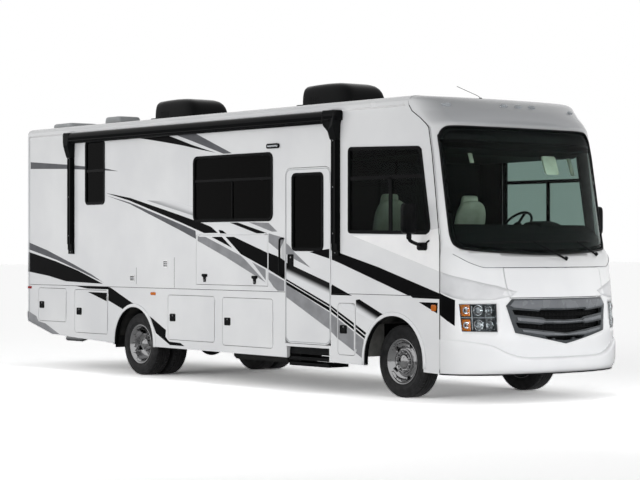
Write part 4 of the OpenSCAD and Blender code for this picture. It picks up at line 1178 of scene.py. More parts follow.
doorLow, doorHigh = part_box("entry_door_window")
doorPane = roundRect(doorLow.x, doorLow.z, doorHigh.x, doorHigh.z, 0.07)
sideWindow("entryDoorWindow", doorPane, -1, finish["darkGlass"], (), "entry_door_window", "entry_door")
print("windows set")

# ---- latches, trims, lamps and vents on the sides

fittings = {
    "latches": [("right_locker_door_1", -7.75, 0.902), ("right_locker_door_2", -6.72, 0.832),
                ("right_locker_door_3", -4.373, 0.808), ("right_locker_door_4", -3.137, 0.792),
                ("right_locker_door_5", -0.80, 0.77)],
    "latchSize": (0.125, 0.100),
    "tLatches": [(-3.638, 1.345), (-2.555, 1.333)],
}


def latchParts(x, z, wide, high, lift):
    plate = roundRect(x - wide / 2, z - high / 2, x + wide / 2, z + high / 2, 0.016)
    well = inset(plate, 0.010)
    paddle = roundRect(x - wide * 0.30, z - high * 0.30, x + wide * 0.30, z + high * 0.18, 0.008)
    button = [(x + 0.012 * math.cos(a / 8 * math.pi), z + high * 0.27 + 0.012 * math.sin(a / 8 * math.pi))
              for a in range(16)]
    return [ringPart(plate, well, 0.0, 0.009, lift), prism(well, 0.0, 0.002, lift),
            prism(paddle, 0.0, 0.007, lift)], prism(button, 0.0, 0.006, lift)


wide, high = fittings["latchSize"]
for body, x, z in fittings["latches"]:
    hands = [(-1, body)] + ([(1, body.replace("right", "left"))] if not body.endswith("5") else [])
    for hand, name in hands:
        parts, button = latchParts(frontX + x, z, wide, high, onSide(hand))
        bevelled(joined(name + "Latch", parts, finish["blackAbs"], name), 0.0015)
        joined(name + "LatchLock", [button], finish["chrome"], name)
parts, buttons = [], []
for x, z in fittings["tLatches"]:
    tee = [(-0.055, 0.048), (0.055, 0.048), (0.055, 0.014), (0.028, 0.006), (0.020, -0.056),
           (-0.020, -0.056),
           (-0.028, 0.006), (-0.055, 0.014)]
    parts.append(prism([(frontX + x + u, z + v) for u, v in tee], 0.0, 0.012, onSide(-1)))
    parts.append(prism(roundRect(frontX + x - 0.040, z + 0.020, frontX + x + 0.040, z + 0.040, 0.006), 0.0,
                       0.026, onSide(-1)))
    buttons.append(latchParts(frontX + x, z - 0.050, 0.06, 0.06, lambda u, v,
                              d: onSide(-1)(u, v, d + 0.010))[1])
bevelled(joined("galleyLatches", parts, finish["blackAbs"], "galley_door"), 0.0015)
joined("galleyLatchLocks", buttons, finish["chrome"], "galley_door")


def lensPart(x, z, wide, high, lift, proud=0.016):
    outline = roundRect(x - wide / 2, z - high / 2, x + wide / 2, z + high / 2, high * 0.35)
    inner = inset(outline, high * 0.18)
    n = len(outline)
    points = [lift(u, v, 0.0) for u, v in outline] + [lift(u, v, proud * 0.6) for u,
                                                      v in inset(outline, 0.002)] + \
        [lift(u, v, proud) for u, v in inner]
    faces = [[i, (i + 1) % n, n + (i + 1) % n, n + i] for i in range(n)] + \
        [[n + i, n + (i + 1) % n, 2 * n + (i + 1) % n,
          2 * n + i] for i in range(n)] + [list(range(2 * n, 3 * n))]
    return points, faces


for hand, side in ((-1, "right"), (1, "left")):
    lift = onSide(hand)
    joined(side + "AmberMarkers", [lensPart(frontX - 4.835, 1.115, 0.115, 0.042, lift),
                                   lensPart(frontX + 0.795, 1.06, 0.088, 0.075, lift)], finish["amber"],
                                   smooth=False)
    joined(side + "RedMarker", [lensPart(backX + 0.06, 1.148, 0.10, 0.038, lift)], finish["red"])
    grid, slots = [], []
    for x, z, w, h in ((-4.544, 1.517, 0.105, 0.095), (-5.352, 1.316, 0.112, 0.085)):
        outline = roundRect(frontX + x - w / 2, z - h / 2, frontX + x + w / 2, z + h / 2, 0.012)
        grid.append(ringPart(outline, inset(outline, 0.008), 0.0, 0.008, lift))
        for k in range(3):
            zz = z - h / 2 + 0.014 + k * (h - 0.016) / 3
            for a, b in ((-w / 2 + 0.012, -0.005), (0.005, w / 2 - 0.012)):
                slots.append(prism([(frontX + x + a, zz), (frontX + x + b, zz),
                                    (frontX + x + b, zz + 0.013),
                                    (frontX + x + a, zz + 0.013)], 0.0, 0.004, lift))
    joined(side + "WallVents", grid, finish["whiteVinyl"])
    joined(side + "WallVentSlots", slots, finish["blackAbs"])
    lines = [([(frontX - 5.25, 1.236), (frontX - 5.25, 1.461)]),
             ([(frontX - 4.337, 1.205), (frontX - 4.337, 1.603)])]
    seams = [tubePart([lift(x, z, 0.0005) for x, z in line], 0.002, 6) for line in lines]
    beltEnds = [(backX + 0.05, frontX + 0.89)] if hand > 0 else [(backX + 0.05, frontX - 1.935),
                                                                 (frontX - 1.035, frontX + 0.89)]
    seams += [tubePart([lift(a, floorZ, -0.001), lift(b, floorZ, -0.001)], 0.0035, 6) for a, b in beltEnds]
    seamPath = [lift(frontX + seamAt(z), z, -0.001) for z in
                [0.34, 0.6, 0.9, 1.2, 1.5, 1.79, 2.0, 2.2, 2.38, 2.6, 2.8, 2.95, 3.08, 3.12, 3.16, 3.20,
                 3.24, 3.28, 3.32, 3.35]]
    seams.append(tubePart(seamPath, 0.005, 8))
    joined(side + "SeamSealant", seams, finish["seal"], smooth=True)
    rearEdge = [lift(backX + 0.05, z, -0.001) for z in (0.66, 1.2, 2.0, 2.8, 3.35)]
    joined(side + "RearCornerTrim", [tubePart(rearEdge, 0.006, 8)], finish["ventAbs"], smooth=True)

lampOutline = roundRect(frontX - 2.290, 2.957, frontX - 2.044, 3.017, 0.024)
joined("porchLampHousing", [ringPart(lampOutline, inset(lampOutline, 0.016), 0.0, 0.024, onSide(-1))],
       finish["blackAbs"])
joined("porchLamp", [lensPart(frontX - 2.167, 2.987, 0.212, 0.028, onSide(-1), 0.028)], finish["clearLens"])
lift = onSide(-1)
rail = [(1.395, 0.0), (1.40, 0.04), (1.44, 0.055), (1.62, 0.058), (1.80, 0.055), (1.84, 0.04), (1.845, 0.0)]
railPath = smoothPath([lift(frontX - 1.975, z, d) for z, d in rail], 5)
joined("entryGrabRail", [tubePart(railPath, 0.013, 12)], finish["blackAbs"], smooth=True)
parts, button = latchParts(frontX - 1.82, 1.57, 0.115, 0.165, lift)
bevelled(joined("entryDoorLatch", parts, finish["blackAbs"], "entry_door"), 0.002)
joined("entryDoorLock", [button], finish["chrome"], "entry_door")
doorEdge = roundRect(doorLow.x - 0.118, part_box("entry_door")[0].z + 0.012, doorHigh.x + 0.128,
                     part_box("entry_door")[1].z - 0.012, 0.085, 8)
joined("entryDoorEdgeTrim", [ringPart(doorEdge, inset(doorEdge, 0.010), 0.0, 0.0025, lift)],
       finish["ventAbs"],
       "entry_door")
for hand, side in ((-1, "right"), (1, "left")):
    lift = onSide(hand)
    flanges, lips = [], []
    for cx, cz, r, z0, ends in ((rearX - 0.025, 0.447, 0.480, 0.40, None),
                                (frontX + 0.10, 0.435, 0.520, 0.37, None)):
        arc = [(cx + r * math.cos(math.radians(a)),
                cz + r * math.sin(math.radians(a))) for a in range(0, 181, 6)]
        path = [(arc[0][0], z0), *arc, (arc[-1][0], z0)]
        n = len(path)
        points = []
        for grow, d in ((-0.003, -0.055), (-0.003, 0.004), (0.0, 0.010), (0.022, 0.012), (0.040, 0.004),
                        (0.043, 0.0)):
            for x, z in path:
                away = Vector((x - cx, max(z - cz, 0)))
                away = away.normalized() if away.length > 0.01 else Vector((1, 0))
                points.append(lift(x + away.x * grow, z + away.y * grow, d))
        faces = [[k * n + i, k * n + i + 1, (k + 1) * n + i + 1,
                  (k + 1) * n + i] for k in range(5) for i in range(n - 1)]
        lips.append((points[:2 * n], faces[:n - 1]))
        flanges.append((points[n:], [[i - n for i in face] for face in faces[n - 1:]]))
    withModifier(joined(side + "WheelArchLips", lips, finish["blackAbs"], smooth=True), "SOLIDIFY",
                 thickness=0.003, offset=0.0)
    piece = sharpEdges(joined(side + "WheelArchFlares", flanges, finish["gelcoat"], smooth=True), 50)
    withModifier(piece, "SOLIDIFY", thickness=0.003, offset=0.0)
print("side fittings done")

# ---- wheels

wheels = {
    "lipRadius": 0.268, "lugCircle": 0.1125, "lugs": 10, "lugRadius": 0.0135, "handHoles": 5,
    "firstHole": 66,
    "ribs": 5, "treadDeep": 0.010, "shoulderNotches": 60,
}


def wheelPlace(hand, hub):
    # out is measured outboard from the middle of the tyre; u runs forward and v up
    return lambda out, u, v: Vector((hub.x + u, hub.y + hand * out, hub.z + v))


def tyrePart(hand, hub, radius, halfWide):
    place = wheelPlace(hand, hub)
    deep = wheels["treadDeep"]
    side = [(0.2635, 0.098), (0.268, 0.1035), (0.276, 0.1055), (0.285, 0.1120), (0.300, 0.1178),
            (0.312, 0.1202), (0.314, 0.1218), (0.322, 0.1222), (0.324, 0.1210), (0.345, 0.1208),
            (0.362, 0.1180), (0.378, 0.1130), (0.380, 0.1145), (0.386, 0.1140), (0.392, 0.1098),
            (0.4005, 0.1062), (0.4105, 0.1015), (0.4165, 0.0930)]
    scale = halfWide / 0.1225
    side = [(r, o * scale) for r, o in side]
    tread = []
    half = 0.093 * scale
    ribs = wheels["ribs"]
    pitch = 2 * half / ribs
    for i in range(ribs):
        start = half - i * pitch
        crown = radius - 0.0004
        tread += [(crown, start - 0.004), (crown, start - pitch + 0.004)]
        if i < ribs - 1:
            tread += [(radius - deep, start - pitch + 0.0025), (radius - deep, start - pitch - 0.0025)]
    profile = side + tread + [(r, -o) for r, o in reversed(side)]
    steps = wheels["shoulderNotches"] * 3
    points, faces = [], []
    for i in range(steps):
        a = 2 * math.pi * i / steps
        notch = i % 3 == 0
        for r, out in profile:
            here = r
            if notch and abs(out) > 0.055 * scale and r > 0.404:
                here = min(r, radius - 0.008)
            points.append(place(out, here * math.cos(a), here * math.sin(a)))
    m = len(profile)
    for i in range(steps):
        j = (i + 1) % steps
        faces += [[i * m + k, j * m + k, j * m + k + 1, i * m + k + 1] for k in range(m - 1)]
    return points, faces


def ring(radius, steps=40, start=0.0):
    return [(radius * math.cos(start + 2 * math.pi * i / steps),
             radius * math.sin(start + 2 * math.pi * i / steps))
            for i in range(steps)]


def handHole(angle, middleR, long, tall, steps=18):
    a = math.radians(angle)
    out = []
    for i in range(steps):
        t = 2 * math.pi * i / steps
        along, across = long * math.cos(t), tall * math.sin(t)
        r = middleR + across
        turn = a + along / middleR
        out.append((r * math.cos(turn), r * math.sin(turn)))
    return out


def dishPart(place, depth, inner, outer, holes):
    # a pressed dish: depth(r) is how far outboard it stands
    return sheetPart(ring(outer, 72), [ring(inner, 48), *holes], 0.016,
                     lambda u, v: place(depth(math.hypot(u, v)), u, v))


def rimSection():
    lip = wheels["lipRadius"]
    return [(0.240, -0.098), (0.262, -0.104), (lip, -0.106), (0.262, -0.100), (0.246, -0.09), (0.236, 0.0),
            (0.246, 0.088), (0.258, 0.101), (0.264, 0.1065), (lip, 0.1085), (0.2655, 0.112),
            (0.257, 0.1125),
            (0.250, 0.109), (0.243, 0.101), (0.238, 0.092)]


def lugRing(place, base, tall):
    # the wheel nuts, a cap each, on their bolt circle
    angles = [2 * math.pi * (k + 0.5) / wheels["lugs"] for k in range(wheels["lugs"])]
    circle = wheels["lugCircle"]
    return [lugPart(place, circle * math.cos(a), circle * math.sin(a), base, tall,
                    wheels["lugRadius"]) for a in angles]


def lugPart(place, u, v, base, tall, radius):
    return lathePart([(radius * 1.25, base), (radius * 1.2, base + 0.004), (radius, base + 0.008),
                               (radius * 0.95, base + tall - 0.004), (radius * 0.6, base + tall),
                               (0.0006, base + tall + 0.002)],
                              lambda out, a, b: place(out, u + a, v + b), 12)


def buildFrontWheel(hand, side):
    body = f"front_{side}_wheel"
    low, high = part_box(f"front_{side}_tyre")
    hub = (low + high) / 2
    place = wheelPlace(hand, hub)
    tyre = sharpEdges(joined(body + "Tyre",
                             [tyrePart(hand, hub, (high.z - low.z) / 2, (high.y - low.y) / 2)],
                             finish["tyre"], body), 28)
    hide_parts(f"front_{side}_tyre")
    depth = smoothLine([(0.0, 0.068), (0.150, 0.068), (0.158, 0.060), (0.170, 0.042), (0.190, 0.040),
                        (0.215, 0.052), (0.232, 0.075), (0.240, 0.095)])
    holes = [handHole(wheels["firstHole"] + 360 / wheels["handHoles"] * k, 0.196, 0.026, 0.0145)
             for k in range(wheels["handHoles"])]
    rim = joined(body + "Rim", [lathePart(rimSection(), place, 96)], finish["chrome"], body, smooth=True)
    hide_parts(f"front_{side}_rim")
    dish = joined(body + "Dish", [dishPart(place, depth, 0.150, 0.240, holes)], finish["chrome"], body,
                  smooth=True)
    withModifier(dish, "SOLIDIFY", thickness=0.003, offset=0.0)
    hubCup = [(0.152, 0.055), (0.151, 0.082), (0.146, 0.089), (0.138, 0.090), (0.134, 0.084),
              (0.128, 0.080),
              (0.090, 0.078), (0.086, 0.082), (0.080, 0.095), (0.074, 0.101), (0.060, 0.103),
              (0.050, 0.106),
              (0.030, 0.110), (0.0006, 0.111)]
    parts = [lathePart(hubCup, place, 72)]
    parts += lugRing(place, 0.078, 0.026)
    for k in range(6):
        a = math.radians(60 * k)
        parts.append(tubePart([place(0.104, 0.030 * math.cos(a), 0.030 * math.sin(a)),
                               place(0.101, 0.062 * math.cos(a), 0.062 * math.sin(a))], 0.005, 8))
    sharpEdges(joined(body + "HubCover", parts, finish["chrome"], body), 40)
    dark = [lathePart([(0.225, 0.010), (0.10, 0.000), (0.05, 0.000)], place, 48)]
    for k in range(wheels["lugs"]):
        a = 2 * math.pi * k / wheels["lugs"]
        c = wheels["lugCircle"]
        dark.append(lathePart([(0.0125, 0.0795), (0.011, 0.0815), (0.0006, 0.0815)],
                              lambda out, p, q, a=a,
                              c=c: place(out, p + c * math.cos(a), q + c * math.sin(a)), 14))
    joined(body + "Shadowing", dark, finish["iron"], body, smooth=True)
    valve = [place(0.085, 0.226 * math.cos(2.3), 0.226 * math.sin(2.3)),
             place(0.118, 0.222 * math.cos(2.3), 0.222 * math.sin(2.3))]
    joined(body + "Valve", [tubePart(valve, 0.0045, 10)], finish["steel"], body, smooth=True)


def buildRearWheels(hand, side):
    body = f"rear_{side}_wheels"
    low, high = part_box(f"rear_{side}_tyres")
    radius = (high.z - low.z) / 2
    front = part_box(f"front_{side}_tyre")
    halfWide = (front[1].y - front[0].y) / 2
    centre = (low + high) / 2
    spread = (high.y - low.y) / 2 - halfWide
    hubs = [Vector((centre.x, centre.y + hand * k * spread, centre.z)) for k in (1, -1)]
    tyre = sharpEdges(joined(body + "Tyres", [tyrePart(hand, hub, radius, halfWide) for hub in hubs],
                             finish["tyre"], body), 28)
    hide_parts(f"rear_{side}_tyres")
    place = wheelPlace(hand, hubs[0])
    inner = wheelPlace(hand, hubs[1])
    rim = joined(body + "Rim", [lathePart(rimSection(), place, 96)], finish["chrome"], body, smooth=True)
    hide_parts(f"rear_{side}_rims")
    depth = smoothLine([(0.0, -0.052), (0.150, -0.052), (0.165, -0.050), (0.185, -0.035), (0.210, 0.010),
                        (0.228, 0.060), (0.240, 0.095)])
    holes = [handHole(wheels["firstHole"] - 12 + 360 / wheels["handHoles"] * k, 0.190, 0.026, 0.0145)
             for k in range(wheels["handHoles"])]
    dish = joined(body + "Dish", [dishPart(place, depth, 0.150, 0.240, holes)], finish["chrome"], body,
                  smooth=True)
    withModifier(dish, "SOLIDIFY", thickness=0.003, offset=0.0)
    hubCup = [(0.152, -0.056), (0.148, -0.044), (0.140, -0.038), (0.128, -0.036), (0.096, -0.036),
              (0.090, -0.030),
              (0.086, -0.010), (0.083, 0.020), (0.080, 0.046), (0.075, 0.052), (0.070, 0.053),
              (0.066, 0.050),
              (0.058, 0.056), (0.052, 0.064), (0.030, 0.070), (0.0006, 0.071)]
    parts = [lathePart(hubCup, place, 72)]
    parts += lugRing(place, -0.037, 0.030)
    for k in range(8):
        a = math.radians(45 * k)
        parts.append(lugPart(place, 0.062 * math.cos(a), 0.062 * math.sin(a), 0.050, 0.008, 0.005))
    sharpEdges(joined(body + "HubCover", parts, finish["chrome"], body), 40)
    # painted shade: the inner wheel and a disc behind the outer dish are dark iron grey, for the shade
    # inside the twin wheels
    innerDish = smoothLine([(0.0, 0.094), (0.150, 0.094), (0.19, 0.085), (0.240, 0.02)])
    parts = [lathePart(rimSection(), inner, 72), dishPart(inner, innerDish, 0.060, 0.240, holes),
             lathePart([(0.238, -0.06), (0.10, -0.085), (0.07, -0.09)], place, 48)]
    dark = joined(body + "InnerRim", parts, finish["iron"], body, smooth=True)
    withModifier(dark, "SOLIDIFY", thickness=0.004, offset=0.0)


for hand, side in ((-1, "right"), (1, "left")):
    buildFrontWheel(hand, side)
    buildRearWheels(hand, side)
print("wheels built")

# ---- mud flaps and inner fenders

guards = {"linerThick": 0.004, "flapBehind": 0.56, "flapInner": 0.66, "flapOuter": 1.235}


def fenderPart(hand, cx, cz, radius, inner, start, end):
    points = []
    steps = 24
    for k in range(steps + 1):
        a = math.radians(start + (end - start) * k / steps)
        for y in (inner, sideY - 0.055):
            points.append((cx + radius * math.cos(a), hand * y, cz + radius * math.sin(a)))
    faces = [[2 * k, 2 * k + 1, 2 * k + 3, 2 * k + 2] for k in range(steps)]
    return points, faces


for hand, side in ((-1, "right"), (1, "left")):
    liners = [fenderPart(hand, rearX - 0.025, 0.447, 0.500, 0.60, 8, 172),
              fenderPart(hand, frontX + 0.10, 0.435, 0.540, 0.56, 8, 130)]
    liner = joined(side + "FenderLiners", liners, finish["chassis"], smooth=True)
    withModifier(liner, "SOLIDIFY", thickness=guards["linerThick"], offset=0.0)
    flapX = rearX - guards["flapBehind"]
    flap = [(flapX, 0.66), (flapX + 0.012, 0.66), (flapX + 0.018, 0.355), (flapX + 0.006, 0.355)]
    y0, y1 = guards["flapInner"], guards["flapOuter"]
    parts = [prism(flap, 0, y1 - y0, lambda x, z, d, h=hand: (x, h * (y0 + d), z))]
    bevelled(joined(side + "MudFlaps", parts, finish["tyre"]), 0.002)
print("guards built")

# ---- what is fixed to the outside: mirrors, awning, roof, wipers, lamps

mirrors = {"headLow": (0.591, 0.130, 1.890), "headHigh": (0.671, 0.320, 2.230), "armRadius": 0.020}


def loftPart(rings, cap=True):
    n = len(rings[0])
    points = [p for loop in rings for p in loop]
    faces = [[k * n + i, k * n + (i + 1) % n, (k + 1) * n + (i + 1) % n, (k + 1) * n + i]
             for k in range(len(rings) - 1) for i in range(n)]
    if cap:
        faces += [list(range(n - 1, -1, -1)), list(range((len(rings) - 1) * n, len(rings) * n))]
    return outward(points, faces)


def squircle(cy, cz, halfWide, halfTall, power, steps=40):
    out = []
    for i in range(steps):
        a = 2 * math.pi * i / steps
        c, s = math.cos(a), math.sin(a)
        out.append((cy + halfWide * math.copysign(abs(c) ** (2 / power), c),
                    cz + halfTall * math.copysign(abs(s) ** (2 / power), s)))
    return out


for hand, side in ((-1, "right"), (1, "left")):
    (x0, y0, z0), (x1, y1, z1) = mirrors["headLow"], mirrors["headHigh"]
    cy, cz = hand * (sideY + (y0 + y1) / 2), (z0 + z1) / 2
    wide, tall = (y1 - y0) / 2, (z1 - z0) / 2
    stations = [(0.0, 0.965, 0.98), (0.008, 1.0, 1.0), (0.050, 1.0, 1.0), (0.062, 0.985, 0.99),
                (0.071, 0.94, 0.965), (0.077, 0.85, 0.91), (0.080, 0.70, 0.80)]
    rings = [[(frontX + x0 + dx, y, z) for y, z in squircle(cy, cz, wide * w, tall * t, 6.0, 64)]
             for dx, w, t in stations]
    shell = joined(side + "MirrorHead", [loftPart(rings)], finish["gloss"], smooth=True)
    if hand < 0:
        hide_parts("mirrors")
    glassEdge = squircle(cy, cz + 0.055, wide * 0.82, tall * 0.60, 4.5)
    spotEdge = squircle(cy, cz - 0.115, wide * 0.82, tall * 0.24, 4.5)
    back = frontX + x0
    joined(side + "MirrorGlass", [prism(glassEdge, 0, 0.004, lambda y, z, d: (back - 0.002 + d, y, z)),
                                  prism(spotEdge, 0, 0.004, lambda y, z, d: (back - 0.002 + d, y, z))],
           finish["chrome"])
    lift = onSide(hand)
    base = roundRect(frontX + 0.525, 1.702, frontX + 0.685, 1.793, 0.03)
    parts = [loftPart([[lift(x, z, d) for x, z in inset(base, g)]
                       for d, g in ((0.0, 0.0), (0.012, 0.0), (0.024, 0.006), (0.030, 0.016))])]
    arm = smoothPath([lift(frontX + 0.600, 1.765, 0.02), lift(frontX + 0.602, 1.772, 0.07),
                      lift(frontX + 0.610, 1.790, 0.14), lift(frontX + 0.622, 1.812, 0.200),
                      lift(frontX + 0.629, 1.845, 0.223), lift(frontX + 0.630, 1.90, 0.225)], 6)
    parts.append(tubePart(arm, mirrors["armRadius"], 14))
    knuckle = [(0.0006, 0.060), (0.016, 0.056), (0.027, 0.044), (0.030, 0.030), (0.029, 0.0),
               (0.024, -0.012), (0.0006, -0.014)]
    parts.append(lathePart(knuckle, lambda out, u,
                           v: (frontX + 0.629 + u, hand * (sideY + 0.225) + v, 1.838 + out), 24))
    parts.append(tubePart([lift(frontX + 0.655, 1.76, 0.02), lift(frontX + 0.70, 1.80, 0.012),
                           lift(frontX + 0.72, 1.815, 0.0)], 0.010, 10))
    joined(side + "MirrorArm", parts, finish["blackAbs"], smooth=True)

awning = {"rearEnd": 6.970, "frontEnd": 0.815, "rearArm": 6.912, "frontArm": 0.925}  # behind the front axle
ax0, ax1 = frontX - awning["rearEnd"], frontX - awning["frontEnd"]
caseProfile = [(0.0, 3.356), (0.060, 3.357), (0.092, 3.351), (0.112, 3.336), (0.120, 3.312), (0.121, 3.288),
               (0.117, 3.264), (0.106, 3.246), (0.088, 3.238), (0.040, 3.236), (0.0, 3.238)]
caseRings = [[(x, -(sideY + d * g), 3.297 + (z - 3.297) * g) for d, z in caseProfile]
             for x, g in ((ax0, 0.9), (ax0 + 0.006, 1.0), (ax1 - 0.006, 1.0), (ax1, 0.9))]
case = sharpEdges(joined("awningCase", [loftPart(caseRings)], finish["gloss"]), 40)
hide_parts("awning")
# at each arm a bracket carries the case and tapers back to the arm below it
ends = []
for mid, rear in ((frontX - awning["rearArm"], 0.072), (frontX - awning["frontArm"], 0.150)):
    bracket = [(-0.062, 3.010), (0.062, 3.010), (0.070, 3.18), (0.098, 3.30), (0.098, 3.340),
               (0.078, 3.360),
               (-rear + 0.02, 3.360), (-rear, 3.340), (-rear, 3.225), (-rear * 0.8, 3.170), (-0.064, 3.110)]
    outline = [(mid + u, z) for u, z in bracket]
    rings = []
    for d, g in ((0.0, 0.0), (0.112, 0.0), (0.122, 0.010)):
        rings.append([(u, -(sideY + (d if z > 3.15 else min(d, 0.062 + 0.35 * (z - 3.01)))), z)
                      for u, z in inset(outline, g)])
    ends.append(loftPart(rings))
bevelled(joined("awningEndCaps", ends, finish["blackAbs"]), 0.006)
roll = [(x, -(sideY + 0.060), 3.232) for x in (ax0 + 0.12, ax1 - 0.12)]
joined("awningFabricRoll", [tubePart(roll, 0.026, 20)], finish["awning"], smooth=True)
leadBar = [(0.092, 3.226), (0.116, 3.226), (0.121, 3.240), (0.119, 3.252), (0.100, 3.252), (0.092, 3.240)]
joined("awningLeadBar", [prism(leadBar, ax0 + 0.12, ax1 - 0.12,
                               lambda d, z, x: (x, -(sideY + d), z))], finish["gloss"])
arms, knobs = [], []
for mid in (frontX - awning["rearArm"], frontX - awning["frontArm"]):
    for half, d0, d1, zLow, zHigh in ((0.062, 0.0, 0.024, 1.66, 3.20), (0.052, 0.022, 0.046, 1.70, 3.20),
                                      (0.040, 0.040, 0.062, 1.78, 3.20)):
        section = [(-half, d0), (-half, d1), (-half + 0.010, d1), (-half + 0.010, d1 - 0.010),
                   (half - 0.010, d1 - 0.010), (half - 0.010, d1), (half, d1), (half, d0)]
        arms.append(prism(section, zLow, zHigh, lambda u, d, z, m=mid: (m + u, -(sideY + d), z)))
    arms.append(prism([(-0.062, 0.0), (-0.062, 0.030), (0.062, 0.030), (0.062, 0.0)], 1.642, 1.70,
                      lambda u, d, z, m=mid: (m + u, -(sideY + d), z)))
    for z in (1.67, 1.90, 2.45, 3.00):
        knobs.append(lathePart([(0.009, 0.0), (0.009, 0.004), (0.005, 0.006), (0.0006, 0.006)],
                               lambda out, u, v, m=mid,
                               z=z: (m + u, -(sideY + (0.064 if z > 1.8 else 0.031) + out), z + v), 12))
bevelled(joined("awningArms", arms, finish["gloss"]), 0.0015)
joined("awningArmBolts", knobs, finish["steel"], smooth=True)
print("mirrors and awning built")

cooler = {"places": (rearX - 0.470, frontX - 2.340), "long": 0.95, "wide": 0.64, "tall": 0.362}


def coolerPart(centre):
    half = cooler["long"] / 2
    # share of the half length, of the width and of the height: an upright back, a flat top
    # and a rounded nose
    stations = [(-1.0, 0.970, 0.80), (-0.992, 0.985, 0.90), (-0.975, 0.995, 0.945), (-0.93, 1.0, 0.972),
                (-0.60, 1.0, 0.99), (-0.10, 1.0, 1.0), (0.30, 1.0, 0.985), (0.52, 0.995, 0.955),
                (0.68, 0.985, 0.905), (0.80, 0.965, 0.83), (0.88, 0.945, 0.74), (0.94, 0.92, 0.62),
                (0.975, 0.90, 0.50), (0.995, 0.88, 0.34), (1.0, 0.86, 0.20)]
    rings = []
    for s, w, t in stations:
        top = cooler["tall"] * t
        halfWide = cooler["wide"] / 2 * w
        loop = []
        for i in range(49):
            a = math.pi * i / 48
            c, u = math.cos(a), math.sin(a)
            y = halfWide * (1 - 0.05 * max(u, 0)) * math.copysign(abs(c) ** 0.28, c)
            loop.append((centre + half * s, y, roofZ + 0.010 + (top - 0.010) * abs(u) ** 0.30))
        rings.append(loop)
    return loftPart(rings)


parts, gaskets, slots = [], [], []
for centre in cooler["places"]:
    parts.append(coolerPart(centre))
    half = cooler["long"] / 2
    gaskets.append(boxPart((centre - half + 0.02, -0.29, roofZ - 0.004),
                           (centre + half - 0.06, 0.29, roofZ + 0.03)))
    gaskets.append(boxPart((centre - half - 0.20, -0.26, roofZ - 0.002),
                           (centre - half + 0.10, 0.26, roofZ + 0.115)))
    for k in range(8):
        z = roofZ + 0.130 + 0.022 * k
        slots.append(boxPart((centre - half - 0.003, -0.215, z), (centre - half + 0.016, 0.215, z + 0.009)))
    for hand in (-1, 1):
        for k in range(6):
            x = centre - 0.33 + 0.036 * k
            slots.append(boxPart((x, hand * 0.316 - 0.004, roofZ + 0.07),
                                 (x + 0.014, hand * 0.316 + 0.004, roofZ + 0.19)))
shrouds = sharpEdges(joined("coolerShrouds", parts, finish["gloss"]), 30)
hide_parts("air_conditioners")
bevelled(joined("coolerBases", gaskets, finish["blackAbs"]), 0.004)
bevelled(joined("coolerLouvres", slots, finish["blackAbs"]), 0.0015)


def lidPart(x0, x1, y0, y1, tall, slope=0.030):
    cx, cy = (x0 + x1) / 2, (y0 + y1) / 2
    hx, hy = (x1 - x0) / 2, (y1 - y0) / 2
    rings = []
    for grow, up in ((0.0, 0.0), (0.0, tall * 0.55), (-slope * 0.12, tall * 0.82),
                     (-slope * 0.45, tall * 0.95),
                     (-slope, tall * 0.99), (-slope * 2.5, tall)):
        wide, deep = max(hx + grow, 0.01), max(hy + grow, 0.01)
        loop = roundRect(cx - wide, cy - deep, cx + wide, cy + deep, min(0.045, wide * 0.6), 5)
        rings.append([(x, y, roofZ - 0.002 + up) for x, y in loop])
    return loftPart(rings)


vents = [lidPart(rearX - 1.867, rearX - 1.467, -0.590, -0.210, 0.159),
         lidPart(rearX - 2.747, rearX - 2.247, -0.930, -0.430, 0.090, 0.05),
         lidPart(frontX - 3.120, frontX - 3.000, -0.380, -0.260, 0.060, 0.014)]
flanges = [lidPart(rearX - 1.90, rearX - 1.43, -0.625, -0.175, 0.012, 0.004),
           lidPart(rearX - 2.78, rearX - 2.21, -0.965, -0.395, 0.010, 0.004)]
lids = sharpEdges(joined("roofVentLids", vents, finish["ventAbs"]), 40)
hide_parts("roof_vents")
sharpEdges(joined("roofVentFlanges", flanges, finish["whiteVinyl"]), 40)
print("roof built")

wipers = {
    "arms": [[(0.22, 1.600), (-0.18, 1.800)], [(0.87, 1.650), (0.54, 1.800)]],
    "blades": [[(-1.06, 1.775), (-0.05, 1.800)], [(-0.10, 1.795), (0.80, 1.800)]],
    "stand": 0.028,
}


def onGlass(y, z, out):
    return onSkin(y, z, 0.012) + skinNormal(y, z) * out


parts, rubber = [], []
for (pivot, tip), (low, high) in zip(wipers["arms"], wipers["blades"]):
    a, b = onSkin(*pivot, 0.0), onGlass(*tip, wipers["stand"])
    path = [a + Vector((0.012, 0, 0)), a.lerp(b, 0.12) + Vector((0.022, 0, 0)),
            a.lerp(b, 0.6) + Vector((0.018, 0, 0)), b]
    parts.append(tubePart(smoothPath(path, 5), 0.009, 10))
    parts.append(tubePart(smoothPath([p + Vector((0.0, 0.010, -0.016)) for p in path], 5), 0.005, 8))
    normal = skinNormal(*pivot)
    parts.append(tubePart([a - normal * 0.01, a + normal * 0.030], 0.021, 16))
    blade = [onGlass(low[0] + (high[0] - low[0]) * i / 14, low[1] + (high[1] - low[1]) * i / 14,
                     0.016 + 0.006 * math.sin(math.pi * i / 14)) for i in range(15)]
    parts.append(tubePart(blade, 0.0065, 8))
    edge = [onGlass(low[0] + (high[0] - low[0]) * i / 14, low[1] + (high[1] - low[1]) * i / 14,
                    0.005) for i in range(15)]
    rubber.append(tubePart(edge, 0.0045, 6))
joined("wiperArms", parts, finish["blackAbs"], smooth=True)
joined("wiperBlades", rubber, finish["seal"], smooth=True)

